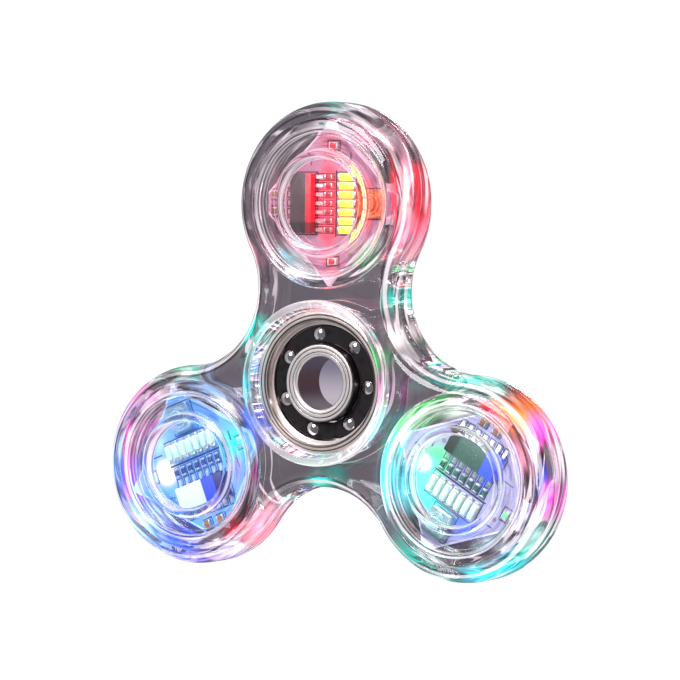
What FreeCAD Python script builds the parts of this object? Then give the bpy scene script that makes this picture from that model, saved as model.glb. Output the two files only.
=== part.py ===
# Light-up hand spinner: a clear three-lobed body turning on an open ball bearing, with a
# glowing circuit module in each lobe.
#
# Frame: millimetres, +Z up out of the front face, origin at the centre of the bearing.
# The spinner lies on its hub ring. One lobe points along +Y, and the others 120 degrees away.
# Every driving dimension is a cell of the sheet "sizes"; each piece is a body bound to them.
import FreeCAD, Part

import math
import os

import Sketcher

DRIVING_SIZES = [
    # body moulding
    ("arm_radius", 27.5, "hub axis to lobe axis"),
    ("lobe_radius", 15.6, "outside of a lobe"),
    ("waist_reach", 16.165, "hub axis to the hollow between two lobes"),
    ("front_round", 3.4, "rounding of the body's front edge"),
    ("back_round", 2.2, "rounding of the body's back edge"),
    ("deck_height", 4.1, "flat front face above the bearing centre"),
    ("back_depth", 4.75, "flat back face below the bearing centre"),
    ("hub_front_rise", 1.55, "raised ring's front end above the deck"),
    ("hub_back_rise", 0.9, "raised ring's back end below the flat back"),
    ("hub_radius", 12.7, "outside of the raised ring"),
    ("hub_mouth_radius", 11.6, "raised ring's opening at its ends"),
    ("hub_bevel", 0.4, "bevel on the raised ring's outer edges"),
    ("seat_shoulder_radius", 10.4, "hole in the shoulder behind the bearing"),
    ("shoulder_thickness", 0.8, "straight part of the shoulder"),
    ("press_gap", 0.02, "radial gap of the bearing in its seat"),
    # bearing, the common 8 x 22 x 7 size
    ("bearing_width", 7.0, "width of both rings"),
    ("bearing_outer_radius", 11.0, "outside of the outer ring"),
    ("bore_radius", 4.0, "inside of the inner ring"),
    ("inner_land_radius", 6.05, "outside of the inner ring"),
    ("outer_land_radius", 8.95, "shoulders beside the outer ring's track"),
    ("mouth_radius", 9.55, "inside of the outer ring at its faces"),
    ("mouth_depth", 1.3, "how deep the wide mouth of the outer ring goes"),
    ("ring_bevel", 0.3, "bevel on the rings' corners"),
    ("bore_bevel", 0.5, "bevel at both ends of the bore"),
    ("pitch_radius", 7.5, "circle through the ball centres"),
    ("ball_radius", 1.985, "one ball"),
    ("track_gap", 0.06, "gap between a ball and the ring tracks"),
    ("ball_turn", -4.0, "angle of the first ball"),
    ("cage_inner_radius", 6.25, "inside of the ball cage"),
    ("cage_outer_radius", 8.75, "outside of the ball cage"),
    ("cage_top", 1.75, "cage face above the ball centres"),
    ("cage_bottom", 1.0, "cage skirt below the ball centres"),
    ("cage_gap", 0.075, "gap between a ball and its cage pocket"),
    # pocket in each lobe
    ("pocket_radius", 13.15, "pocket that holds a module, open at the back"),
    ("lip_reach", 1.75, "how far the front lip reaches in over the pocket"),
    ("lip_thickness", 1.5, "front lip that keeps the lens cap in"),
    # lens cap, pressed as the mode button
    ("cap_gap", 0.2, "radial gap of the cap in the opening and the pocket"),
    ("cap_drop", 0.3, "cap face below the deck"),
    ("cap_thickness", 1.4, "cap plate"),
    ("cap_stop_gap", 0.05, "gap between the cap's flange and the lip"),
    ("flange_thickness", 0.85, "cap flange"),
    ("skirt_wall", 0.8, "flange inwards from the cap's outside"),
    ("ridge_inset", 3.0, "ridge inwards from the cap's outside"),
    ("ridge_width", 1.3, "ridge round the window"),
    ("ridge_height", 0.8, "ridge above the cap face"),
    ("window_depth", 0.4, "window floor below the cap face"),
    ("cap_bevel", 0.2, "bevel on the cap's edges"),
    # circuit board
    ("board_gap", 0.42, "board corners to the pocket wall"),
    ("drawn_reach", 12.73, "board centre to corner that the sizes along the board are drawn for"),
    ("board_cut", 1.7, "half width of the cut corner"),
    ("board_thickness", 1.0, "board"),
    ("board_drop", 2.0, "board top below the cap plate"),
    # what stands on the board, placed from the module axis towards the lamp side
    ("chip_length", 9.4, "controller chip along its lead rows"),
    ("chip_width", 3.9, "controller chip across"),
    ("chip_height", 1.4, "controller chip"),
    ("chip_gap", 0.15, "chip above the board"),
    ("chip_offset", -4.55, "chip centre from the module axis"),
    ("lead_pitch", 1.39, "spacing of leads, resistors and lamps"),
    ("lead_length", 1.3, "one lead"),
    ("lead_width", 0.5, "one lead"),
    ("lead_thickness", 0.3, "one lead"),
    ("resistor_offset", -0.2, "resistor column from the module axis"),
    ("resistor_length", 1.5, "one resistor"),
    ("resistor_width", 0.8, "one resistor"),
    ("resistor_height", 0.45, "one resistor"),
    ("lamp_offset", 3.2, "lamp column from the module axis"),
    ("lamp_length", 3.4, "one lamp"),
    ("lamp_width", 1.2, "one lamp"),
    ("lamp_height", 1.0, "one lamp"),
    ("corner_lamp_offset", 8.85, "corner lamps from the module axis"),
    ("corner_lamp_shift", 0.6, "corner lamps towards the lamp side"),
    ("corner_lamp_length", 1.5, "one corner lamp"),
    ("corner_lamp_width", 1.0, "one corner lamp"),
    ("corner_lamp_height", 0.6, "one corner lamp"),
    ("capacitor_offset", -9.5, "capacitor pair from the module axis"),
    ("capacitor_spread", 1.3, "each capacitor from the pair's middle"),
    ("capacitor_size", 1.3, "side of a capacitor"),
    ("capacitor_height", 0.7, "one capacitor"),
    ("switch_offset", 7.8, "push switch from the module axis"),
    ("switch_side", 4.2, "push switch"),
    ("switch_height", 1.5, "push switch housing"),
    ("plunger_radius", 1.1, "push switch plunger"),
    ("plunger_gap", 0.05, "radial gap of the plunger"),
    ("plunger_length", 1.2, "push switch plunger"),
    ("press_travel", 0.3, "how far the cap and plunger go down"),
    # power
    ("cell_radius", 3.4, "button cell"),
    ("cell_height", 2.6, "button cell"),
    ("cell_circle", 4.2, "module axis to a cell's axis"),
    ("contact_radius", 7.3, "contact plate"),
    ("contact_hole_radius", 2.4, "hole in the contact plate"),
    ("contact_tab", 2.0, "width of the tabs that reach the board"),
    # back cover
    ("cover_recess", 0.2, "cover below the flat back"),
    ("cover_thickness", 0.85, "cover plate"),
    ("cover_gap", 0.15, "radial gap of the cover in the pocket"),
    ("cover_wall", 1.5, "wall that the board rests on"),
    ("fence_radius", 7.8, "inside of the fence round the cells"),
    ("fence_wall", 0.8, "fence round the cells"),
    ("fence_height", 2.0, "fence round the cells"),
    # how each module is turned in its lobe
    ("turn_top", 0.0, "module in the +Y lobe"),
    ("turn_left", 112.0, "module in the -X lobe"),
    ("turn_right", 240.0, "module in the +X lobe"),
]
# Sizes in plan that grow and shrink with the pocket.
PLAN_SIZES = [
    "lip_reach",
    "skirt_wall",
    "ridge_inset",
    "ridge_width",
    "board_cut",
    "chip_length",
    "chip_width",
    "chip_offset",
    "lead_pitch",
    "lead_length",
    "lead_width",
    "resistor_offset",
    "resistor_length",
    "resistor_width",
    "lamp_offset",
    "lamp_length",
    "lamp_width",
    "corner_lamp_offset",
    "corner_lamp_shift",
    "corner_lamp_length",
    "corner_lamp_width",
    "capacitor_offset",
    "capacitor_spread",
    "capacitor_size",
    "switch_offset",
    "switch_side",
    "plunger_radius",
    "cell_radius",
    "cell_circle",
    "contact_radius",
    "contact_hole_radius",
    "contact_tab",
    "fence_radius",
]
BALL_COUNT = 7
ROW_COUNT = 7
CELL_COUNT = 3
FULL_TURN = 360.0
LOBE_ANGLES = {"top": 90, "left": 210, "right": 330}
HALF_LOBE_STEP = FULL_TURN / len(LOBE_ANGLES) / 2
POINT_START, POINT_END, POINT_CENTRE = 1, 2, 3
SKETCH_ORIGIN = (-1, 1)
OVERSHOOT = 1.0
SAME_LEVEL = 1e-6


class Size:
    """A length that carries its number and the sheet expression that drives it."""

    def __init__(self, value, text):
        self.value = float(value)
        self.text = text

    def __add__(self, other):
        other = sized(other)
        return Size(self.value + other.value, f"({self.text} + {other.text})")

    def __sub__(self, other):
        other = sized(other)
        return Size(self.value - other.value, f"({self.text} - {other.text})")

    def __mul__(self, factor):
        factor = sized(factor)
        return Size(self.value * factor.value, f"({self.text} * {factor.text})")

    def __truediv__(self, divisor):
        divisor = sized(divisor)
        return Size(self.value / divisor.value, f"({self.text} / {divisor.text})")

    def __neg__(self):
        return Size(-self.value, f"(0 - {self.text})")


def sized(number):
    """A plain number as a Size, so that it can take part in an expression."""
    if isinstance(number, Size):
        return number
    return Size(number, f"{number:.12g}")


class Sizes:
    """Dimensions by name, read as sizes.arm_radius."""


def make_sheet(doc):
    """Write the driving dimensions to a spreadsheet and return them by name."""
    sheet = doc.addObject("Spreadsheet::Sheet", "sizes")
    names = Sizes()
    for row, (name, number, note) in enumerate(DRIVING_SIZES, start=1):
        sheet.set(f"A{row}", name)
        sheet.set(f"B{row}", f"{number:.12g}")
        sheet.set(f"C{row}", note)
        sheet.setAlias(f"B{row}", name)
        setattr(names, name, Size(number, f"<<sizes>>.{name}"))
    doc.recompute()
    return names


def add_pocket_sizes(sizes):
    """Fit the module's plan to the pocket, and work out the radii that follow from it."""
    sizes.board_reach = sizes.pocket_radius - sizes.board_gap
    plan_scale = sizes.board_reach / sizes.drawn_reach
    for name in PLAN_SIZES:
        setattr(sizes, name, getattr(sizes, name) * plan_scale)
    sizes.opening_radius = sizes.pocket_radius - sizes.lip_reach
    sizes.cap_radius = sizes.opening_radius - sizes.cap_gap
    sizes.skirt_radius = sizes.cap_radius - sizes.skirt_wall
    sizes.ridge_radius = sizes.cap_radius - sizes.ridge_inset
    sizes.window_radius = sizes.ridge_radius - sizes.ridge_width


def add_waist_sizes(sizes):
    """Work out the hollow curve that touches two lobes and passes the hub at its reach."""
    half_step = math.radians(HALF_LOBE_STEP)
    lobe = sizes.lobe_radius
    across = sizes.arm_radius * math.sin(half_step)
    inward = sizes.waist_reach - sizes.arm_radius * math.cos(half_step)
    squares = across * across + inward * inward - lobe * lobe
    sizes.waist_radius = squares / ((lobe - inward) * 2)
    sizes.waist_distance = sizes.waist_reach + sizes.waist_radius


# ---- small helpers for bodies and sketches ----

def new_body(doc, label):
    """An empty body whose label is its node name."""
    body = doc.addObject("PartDesign::Body", label)
    body.Label = label
    return body


def plane_of(body, role):
    """One of the body's own origin planes or axes."""
    return next(item for item in body.Origin.OriginFeatures if item.Role == role)


def new_sketch(body, plane_role, name, height=None):
    """A sketch on one of the body's origin planes, raised by height along its normal."""
    sketch = body.newObject("Sketcher::SketchObject", f"{body.Name}_{name}")
    sketch.AttachmentSupport = (plane_of(body, plane_role), [""])
    sketch.MapMode = "FlatFace"
    if height is not None:
        sketch.setExpression("AttachmentOffset.Base.z", height.text)
    return sketch


def drive(sketch, constraint, size):
    """Add a constraint that the sheet drives."""
    index = sketch.addConstraint(constraint)
    sketch.setExpression(f"Constraints[{index}]", size.text)


def hold_point(sketch, geometry, point, across, along):
    """Fix a point by its two driven distances from the sketch's origin."""
    geo, pos = SKETCH_ORIGIN
    drive(sketch, Sketcher.Constraint("DistanceX", geo, pos, geometry, point, across.value), across)
    drive(sketch, Sketcher.Constraint("DistanceY", geo, pos, geometry, point, along.value), along)


def add_outline(sketch, corners):
    """A closed outline of straight lines through the corners."""
    corners = [(sized(across), sized(along)) for across, along in corners]
    points = [FreeCAD.Vector(across.value, along.value, 0) for across, along in corners]
    first = sketch.GeometryCount
    count = len(points)
    for i in range(count):
        sketch.addGeometry(Part.LineSegment(points[i], points[(i + 1) % count]), False)
    for i in range(count):
        after = first + (i + 1) % count
        sketch.addConstraint(Sketcher.Constraint("Coincident", first + i, POINT_END, after, POINT_START))
    for i, (across, along) in enumerate(corners):
        hold_point(sketch, first + i, POINT_START, across, along)


def add_rectangle(sketch, centre_x, centre_y, width, depth):
    """A rectangle square to the sketch's axes."""
    left, right = centre_x - width / 2, centre_x + width / 2
    low, high = centre_y - depth / 2, centre_y + depth / 2
    add_outline(sketch, [(left, low), (right, low), (right, high), (left, high)])


def add_circle(sketch, centre_x, centre_y, radius):
    """A circle held by its centre and radius."""
    centre_x, centre_y = sized(centre_x), sized(centre_y)
    centre = FreeCAD.Vector(centre_x.value, centre_y.value, 0)
    index = sketch.addGeometry(Part.Circle(centre, FreeCAD.Vector(0, 0, 1), radius.value), False)
    drive(sketch, Sketcher.Constraint("Radius", index, radius.value), radius)
    hold_point(sketch, index, POINT_CENTRE, centre_x, centre_y)


def pad(body, sketch, length):
    """Extrude the sketch upwards by length."""
    feature = body.newObject("PartDesign::Pad", f"{sketch.Name}_pad")
    feature.Profile = sketch
    feature.setExpression("Length", length.text)
    sketch.Visibility = False
    return feature


def revolve(body, sketch, kind="PartDesign::Revolution"):
    """Turn the sketch a full turn about its vertical axis, adding or cutting."""
    feature = body.newObject(kind, f"{sketch.Name}_turned")
    feature.Profile = sketch
    feature.ReferenceAxis = (sketch, ["V_Axis"])
    feature.Angle = FULL_TURN
    return feature


def cut(body, sketch, feature_type, depth=None):
    """Remove material, and make sure that some was removed."""
    body.Document.recompute()
    before = body.Shape.Volume
    if feature_type == "PartDesign::Groove":
        feature = revolve(body, sketch, feature_type)
    else:
        feature = body.newObject(feature_type, f"{sketch.Name}_cut")
        feature.Profile = sketch
        feature.setExpression("Length", depth.text)
    body.Document.recompute()
    if body.Shape.Volume >= before:
        raise RuntimeError(f"{feature.Name} removed nothing")
    return feature


def turned_body(doc, label, corners):
    """A body of revolution about its own Z axis from corners of (radius, height)."""
    body = new_body(doc, label)
    sketch = new_sketch(body, "XZ_Plane", "profile")
    add_outline(sketch, corners)
    revolve(body, sketch)
    return body


def place_in_lobe(body, sizes, lobe):
    """Move a module piece from the hub axis to its lobe, and turn it there."""
    angle = math.radians(LOBE_ANGLES[lobe])
    turn = getattr(sizes, f"turn_{lobe}")
    body.setExpression("Placement.Base.x", (sizes.arm_radius * math.cos(angle)).text)
    body.setExpression("Placement.Base.y", (sizes.arm_radius * math.sin(angle)).text)
    body.setExpression("Placement.Rotation.Angle", turn.text)


# ---- heights that several pieces share ----

def stack_heights(sizes):
    """Heights of the module's layers above the bearing centre, worked out from the front."""
    heights = Sizes()
    heights.lip_under = sizes.deck_height - sizes.lip_thickness
    heights.cap_face = sizes.deck_height - sizes.cap_drop
    heights.cap_under = heights.cap_face - sizes.cap_thickness
    heights.flange_top = heights.lip_under - sizes.cap_stop_gap
    heights.flange_under = heights.flange_top - sizes.flange_thickness
    heights.board_top = heights.cap_under - sizes.board_drop
    heights.board_under = heights.board_top - sizes.board_thickness
    heights.cover_outside = sizes.cover_recess - sizes.back_depth
    heights.cover_inside = heights.cover_outside + sizes.cover_thickness
    heights.cell_top = heights.cover_inside + sizes.cell_height
    return heights


# ---- bearing ----

def inner_race(doc, sizes):
    """Inner ring: 8 mm bore, bevelled ends and a ball track outside."""
    half = sizes.bearing_width / 2
    bore, land = sizes.bore_radius, sizes.inner_land_radius
    body = turned_body(doc, "inner_race", [
        (bore, -half + sizes.bore_bevel),
        (bore + sizes.bore_bevel, -half),
        (land - sizes.ring_bevel, -half),
        (land, -half + sizes.ring_bevel),
        (land, half - sizes.ring_bevel),
        (land - sizes.ring_bevel, half),
        (bore + sizes.bore_bevel, half),
        (bore, half - sizes.bore_bevel),
    ])
    cut_track(body, sizes)


def outer_race(doc, sizes):
    """Outer ring: a ball track inside, pressed into the body's seat."""
    half = sizes.bearing_width / 2
    land, outside, mouth = sizes.outer_land_radius, sizes.bearing_outer_radius, sizes.mouth_radius
    step = half - sizes.mouth_depth
    body = turned_body(doc, "outer_race", [
        (land, -step),
        (mouth, -step),
        (mouth, -half),
        (outside - sizes.ring_bevel, -half),
        (outside, -half + sizes.ring_bevel),
        (outside, half - sizes.ring_bevel),
        (outside - sizes.ring_bevel, half),
        (mouth, half),
        (mouth, step),
        (land, step),
    ])
    cut_track(body, sizes)


def cut_track(body, sizes):
    """Round track for the balls."""
    sketch = new_sketch(body, "XZ_Plane", "track")
    add_circle(sketch, sizes.pitch_radius, 0, sizes.ball_radius + sizes.track_gap)
    cut(body, sketch, "PartDesign::Groove")


def ball_angle(sizes, number):
    """Angle of a ball round the bearing, as a driven size."""
    return sizes.ball_turn + (number - 1) * FULL_TURN / BALL_COUNT


def balls(doc, sizes):
    """Seven steel balls, each a node of its own."""
    for number in range(1, BALL_COUNT + 1):
        ball = doc.addObject("Part::Sphere", f"ball_{number}")
        ball.Label = f"ball_{number}"
        ball.setExpression("Radius", sizes.ball_radius.text)
        angle = ball_angle(sizes, number).text
        ball.setExpression("Placement.Base.x", f"{sizes.pitch_radius.text} * cos({angle})")
        ball.setExpression("Placement.Base.y", f"{sizes.pitch_radius.text} * sin({angle})")


def ball_cage(doc, sizes):
    """Snap-in cage: a ring with one ball-shaped pocket, repeated round the axis."""
    body = turned_body(doc, "ball_cage", [
        (sizes.cage_inner_radius, -sizes.cage_bottom),
        (sizes.cage_outer_radius, -sizes.cage_bottom),
        (sizes.cage_outer_radius, sizes.cage_top),
        (sizes.cage_inner_radius, sizes.cage_top),
    ])
    doc.recompute()
    before = body.Shape.Volume
    pocket = body.newObject("PartDesign::SubtractiveSphere", "ball_pocket")
    pocket.setExpression("Radius", (sizes.ball_radius + sizes.cage_gap).text)
    first = ball_angle(sizes, 1).text
    pocket.setExpression("AttachmentOffset.Base.x", f"{sizes.pitch_radius.text} * cos({first})")
    pocket.setExpression("AttachmentOffset.Base.y", f"{sizes.pitch_radius.text} * sin({first})")
    pocket.AttachmentSupport = (plane_of(body, "XY_Plane"), [""])
    pocket.MapMode = "FlatFace"
    doc.recompute()
    pattern = body.newObject("PartDesign::PolarPattern", "ball_pockets")
    pattern.Originals = [pocket]
    pattern.Axis = (plane_of(body, "Z_Axis"), [""])
    pattern.Angle = FULL_TURN
    pattern.Occurrences = BALL_COUNT
    body.Tip = pattern
    doc.recompute()
    if body.Shape.Volume >= before:
        raise RuntimeError("the cage pockets removed nothing")


# ---- body moulding ----

def polar(radius, degrees):
    """A point of the sketch plane at a distance and an angle from the hub axis."""
    angle = math.radians(degrees)
    return FreeCAD.Vector(radius * math.cos(angle), radius * math.sin(angle), 0)


def direction(start, end):
    """Angle of the line from start to end."""
    return math.atan2(end.y - start.y, end.x - start.x)


def arc_between(centre, radius, start, end):
    """Counter-clockwise arc that runs from one direction to the other."""
    if end < start:
        end += 2 * math.pi
    return Part.ArcOfCircle(Part.Circle(centre, FreeCAD.Vector(0, 0, 1), radius), start, end)


def add_trefoil(sketch, sizes):
    """Outline of three lobes joined by three hollow curves, tangent all the way round."""
    lobe_angles = list(LOBE_ANGLES.values())
    lobes = [polar(sizes.arm_radius.value, angle) for angle in lobe_angles]
    distance = sizes.waist_distance.value
    waists = [polar(distance, angle + HALF_LOBE_STEP) for angle in lobe_angles]
    lobe_arcs, waist_arcs = [], []
    for i in range(3):
        before, after = waists[i - 1], waists[i]
        start, end = direction(lobes[i], before), direction(lobes[i], after)
        arc = arc_between(lobes[i], sizes.lobe_radius.value, start, end)
        lobe_arcs.append(sketch.addGeometry(arc, False))
    for i in range(3):
        here, following = lobes[i], lobes[(i + 1) % 3]
        start, end = direction(waists[i], following), direction(waists[i], here)
        arc = arc_between(waists[i], sizes.waist_radius.value, start, end)
        waist_arcs.append(sketch.addGeometry(arc, False))
    for i, angle in enumerate(lobe_angles):
        across = sizes.arm_radius * math.cos(math.radians(angle))
        along = sizes.arm_radius * math.sin(math.radians(angle))
        hold_point(sketch, lobe_arcs[i], POINT_CENTRE, across, along)
        radius = Sketcher.Constraint("Radius", lobe_arcs[i], sizes.lobe_radius.value)
        drive(sketch, radius, sizes.lobe_radius)
        radius = Sketcher.Constraint("Radius", waist_arcs[i], sizes.waist_radius.value)
        drive(sketch, radius, sizes.waist_radius)
    for i in range(3):
        lobe, waist, following = lobe_arcs[i], waist_arcs[i], lobe_arcs[(i + 1) % 3]
        touch = Sketcher.Constraint("Tangent", lobe, POINT_END, waist, POINT_END)
        sketch.addConstraint(touch)
        touch = Sketcher.Constraint("Tangent", waist, POINT_START, following, POINT_START)
        sketch.addConstraint(touch)


def round_face_edge(body, base, name, level, radius):
    """Round all the edges of the base that lie at one height."""
    body.Document.recompute()
    edges = []
    for number, edge in enumerate(base.Shape.Edges, start=1):
        box = edge.BoundBox
        if box.ZLength < SAME_LEVEL and abs(box.ZMin - level.value) < SAME_LEVEL:
            edges.append(f"Edge{number}")
    fillet = body.newObject("PartDesign::Fillet", name)
    fillet.Base = (base, edges)
    fillet.setExpression("Radius", radius.text)
    return fillet


def spinner_body(doc, sizes, heights):
    """Clear three-lobed moulding with the bearing seat, raised ring and three module pockets."""
    body = new_body(doc, "spinner_body")
    outline = new_sketch(body, "XY_Plane", "outline", -sizes.back_depth)
    add_trefoil(outline, sizes)
    slab = pad(body, outline, sizes.back_depth + sizes.deck_height)
    front = round_face_edge(body, slab, "rounded_front", sizes.deck_height, sizes.front_round)
    round_face_edge(body, front, "rounded_back", -sizes.back_depth, sizes.back_round)

    top = sizes.deck_height + sizes.hub_front_rise
    bottom = -sizes.back_depth - sizes.hub_back_rise
    ring = new_sketch(body, "XZ_Plane", "ring")
    add_outline(ring, [
        (sizes.seat_shoulder_radius, bottom),
        (sizes.hub_radius - sizes.hub_bevel, bottom),
        (sizes.hub_radius, bottom + sizes.hub_bevel),
        (sizes.hub_radius, top - sizes.hub_bevel),
        (sizes.hub_radius - sizes.hub_bevel, top),
        (sizes.seat_shoulder_radius, top),
    ])
    revolve(body, ring)

    half = sizes.bearing_width / 2
    seat_radius = sizes.bearing_outer_radius + sizes.press_gap
    seat = new_sketch(body, "XZ_Plane", "seat")
    add_outline(seat, [
        (0, bottom - OVERSHOOT),
        (sizes.hub_mouth_radius, bottom - OVERSHOOT),
        (sizes.hub_mouth_radius, bottom),
        (sizes.seat_shoulder_radius, -half - sizes.shoulder_thickness),
        (sizes.seat_shoulder_radius, -half),
        (seat_radius, -half),
        (seat_radius, half),
        (sizes.hub_mouth_radius, top),
        (sizes.hub_mouth_radius, top + OVERSHOOT),
        (0, top + OVERSHOOT),
    ])
    cut(body, seat, "PartDesign::Groove")

    depth = heights.lip_under + sizes.back_depth + OVERSHOOT
    pockets = new_sketch(body, "XY_Plane", "pockets", heights.lip_under)
    add_lobe_circles(pockets, sizes, sizes.pocket_radius)
    cut(body, pockets, "PartDesign::Pocket", depth)

    openings = new_sketch(body, "XY_Plane", "openings", sizes.deck_height + OVERSHOOT)
    add_lobe_circles(openings, sizes, sizes.opening_radius)
    cut(body, openings, "PartDesign::Pocket", sizes.lip_thickness + 2 * OVERSHOOT)


def add_lobe_circles(sketch, sizes, radius):
    """The same circle at each lobe's axis."""
    for degrees in LOBE_ANGLES.values():
        angle = math.radians(degrees)
        across = sizes.arm_radius * math.cos(angle)
        along = sizes.arm_radius * math.sin(angle)
        add_circle(sketch, across, along, radius)


# ---- module pieces, each made on the hub axis and then placed in its lobe ----

def lens_cap(doc, sizes, heights, lobe):
    """Clear cap with a ridge round its window, kept in by a flange under the body's lip."""
    face, under = heights.cap_face, heights.cap_under
    boss = sizes.cap_radius
    flange = sizes.pocket_radius - sizes.cap_gap
    ridge_top = face + sizes.ridge_height
    body = turned_body(doc, f"lens_cap_{lobe}", [
        (0, under),
        (sizes.skirt_radius, under),
        (sizes.skirt_radius, heights.flange_under),
        (flange, heights.flange_under),
        (flange, heights.flange_top),
        (boss, heights.flange_top),
        (boss, face - sizes.cap_bevel),
        (boss - sizes.cap_bevel, face),
        (sizes.ridge_radius, face),
        (sizes.ridge_radius - sizes.cap_bevel, ridge_top),
        (sizes.window_radius + sizes.cap_bevel, ridge_top),
        (sizes.window_radius, face - sizes.window_depth),
        (0, face - sizes.window_depth),
    ])
    place_in_lobe(body, sizes, lobe)


def circuit_board(doc, sizes, heights, lobe):
    """Square board set corner-wise, with the corner away from the lamps cut off."""
    reach = sizes.board_reach
    cut_at = reach - sizes.board_cut
    body = new_body(doc, f"circuit_board_{lobe}")
    sketch = new_sketch(body, "XY_Plane", "outline", heights.board_under)
    add_outline(sketch, [
        (reach, 0),
        (0, reach),
        (-cut_at, sizes.board_cut),
        (-cut_at, -sizes.board_cut),
        (0, -reach),
    ])
    pad(body, sketch, sizes.board_thickness)
    place_in_lobe(body, sizes, lobe)


def board_piece(doc, sizes, lobe, name, base, height, rectangles):
    """Boxes that stand on the board, as (centre x, centre y, width, depth)."""
    body = new_body(doc, f"{name}_{lobe}")
    sketch = new_sketch(body, "XY_Plane", "outline", base)
    for centre_x, centre_y, width, depth in rectangles:
        add_rectangle(sketch, centre_x, centre_y, width, depth)
    pad(body, sketch, height)
    place_in_lobe(body, sizes, lobe)
    return body


def row_positions(sizes):
    """Places along a row of seven, centred on the module axis."""
    middle = (ROW_COUNT - 1) / 2
    return [sizes.lead_pitch * (i - middle) for i in range(ROW_COUNT)]


def controller_chip(doc, sizes, heights, lobe):
    """Black fourteen-lead chip body."""
    outline = (sizes.chip_offset, sized(0), sizes.chip_width, sizes.chip_length)
    base = heights.board_top + sizes.chip_gap
    board_piece(doc, sizes, lobe, "controller_chip", base, sizes.chip_height, [outline])


def chip_leads(doc, sizes, heights, lobe):
    """Seven soldered leads on each side of the chip."""
    reach = (sizes.chip_width + sizes.lead_length) / 2
    leads = []
    for side in (-1, 1):
        across = sizes.chip_offset + reach * side
        for along in row_positions(sizes):
            leads.append((across, along, sizes.lead_length, sizes.lead_width))
    board_piece(doc, sizes, lobe, "chip_leads", heights.board_top, sizes.lead_thickness, leads)


def resistor_row(doc, sizes, heights, lobe):
    """Seven small resistors between the chip and the lamps."""
    row = []
    for along in row_positions(sizes):
        row.append((sizes.resistor_offset, along, sizes.resistor_length, sizes.resistor_width))
    base = heights.board_top
    board_piece(doc, sizes, lobe, "resistor_row", base, sizes.resistor_height, row)


def lamp_row(doc, sizes, heights, lobe):
    """Seven light-emitting diodes in a row."""
    row = []
    for along in row_positions(sizes):
        row.append((sizes.lamp_offset, along, sizes.lamp_length, sizes.lamp_width))
    board_piece(doc, sizes, lobe, "lamp_row", heights.board_top, sizes.lamp_height, row)


def corner_lamps(doc, sizes, heights, lobe):
    """One small lamp near each of the two side corners."""
    pair = []
    for side in (-1, 1):
        along = sizes.corner_lamp_offset * side
        width, depth = sizes.corner_lamp_length, sizes.corner_lamp_width
        pair.append((sizes.corner_lamp_shift, along, width, depth))
    height = sizes.corner_lamp_height
    board_piece(doc, sizes, lobe, "corner_lamps", heights.board_top, height, pair)


def capacitor_pair(doc, sizes, heights, lobe):
    """Two small capacitors beside the cut corner."""
    pair = []
    for side in (-1, 1):
        along = sizes.capacitor_spread * side
        pair.append((sizes.capacitor_offset, along, sizes.capacitor_size, sizes.capacitor_size))
    height = sizes.capacitor_height
    board_piece(doc, sizes, lobe, "capacitor_pair", heights.board_top, height, pair)


def mode_switch(doc, sizes, heights, lobe):
    """Square push switch in the lamp-side corner, with a hole for its plunger."""
    outline = (sizes.switch_offset, sized(0), sizes.switch_side, sizes.switch_side)
    base, tall = heights.board_top, sizes.switch_height
    body = board_piece(doc, sizes, lobe, "mode_switch", base, tall, [outline])
    hole = new_sketch(body, "XY_Plane", "hole", base + tall)
    add_circle(hole, sizes.switch_offset, 0, sizes.plunger_radius + sizes.plunger_gap)
    depth = base + tall - (heights.cap_under - sizes.plunger_length) + sizes.press_travel
    cut(body, hole, "PartDesign::Pocket", depth + sizes.plunger_gap)


def switch_plunger(doc, sizes, heights, lobe):
    """Plunger that the cap pushes down into the switch."""
    body = new_body(doc, f"switch_plunger_{lobe}")
    sketch = new_sketch(body, "XY_Plane", "outline", heights.cap_under - sizes.plunger_length)
    add_circle(sketch, sizes.switch_offset, 0, sizes.plunger_radius)
    pad(body, sketch, sizes.plunger_length)
    place_in_lobe(body, sizes, lobe)


def contact_plate(doc, sizes, heights, lobe):
    """Springy plate on top of the cells, with two tabs up to the board."""
    body = new_body(doc, f"contact_plate_{lobe}")
    disc = new_sketch(body, "XY_Plane", "disc", heights.cell_top)
    add_circle(disc, 0, 0, sizes.contact_radius)
    add_circle(disc, 0, 0, sizes.contact_hole_radius)
    gap = heights.board_under - heights.cell_top
    pad(body, disc, gap / 2)
    tabs = new_sketch(body, "XY_Plane", "tabs", heights.cell_top)
    for side in (-1, 1):
        along = (sizes.contact_radius - sizes.contact_tab) * side
        add_rectangle(tabs, sized(0), along, sizes.contact_tab, sizes.contact_tab)
    pad(body, tabs, gap)
    place_in_lobe(body, sizes, lobe)


def button_cells(doc, sizes, heights, lobe):
    """Three button cells lying flat round the module axis."""
    body = new_body(doc, f"button_cells_{lobe}")
    sketch = new_sketch(body, "XY_Plane", "outline", heights.cover_inside)
    for i in range(CELL_COUNT):
        angle = math.radians(i * FULL_TURN / CELL_COUNT)
        across = sizes.cell_circle * math.cos(angle)
        along = sizes.cell_circle * math.sin(angle)
        add_circle(sketch, across, along, sizes.cell_radius)
    pad(body, sketch, sizes.cell_height)
    place_in_lobe(body, sizes, lobe)


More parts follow.
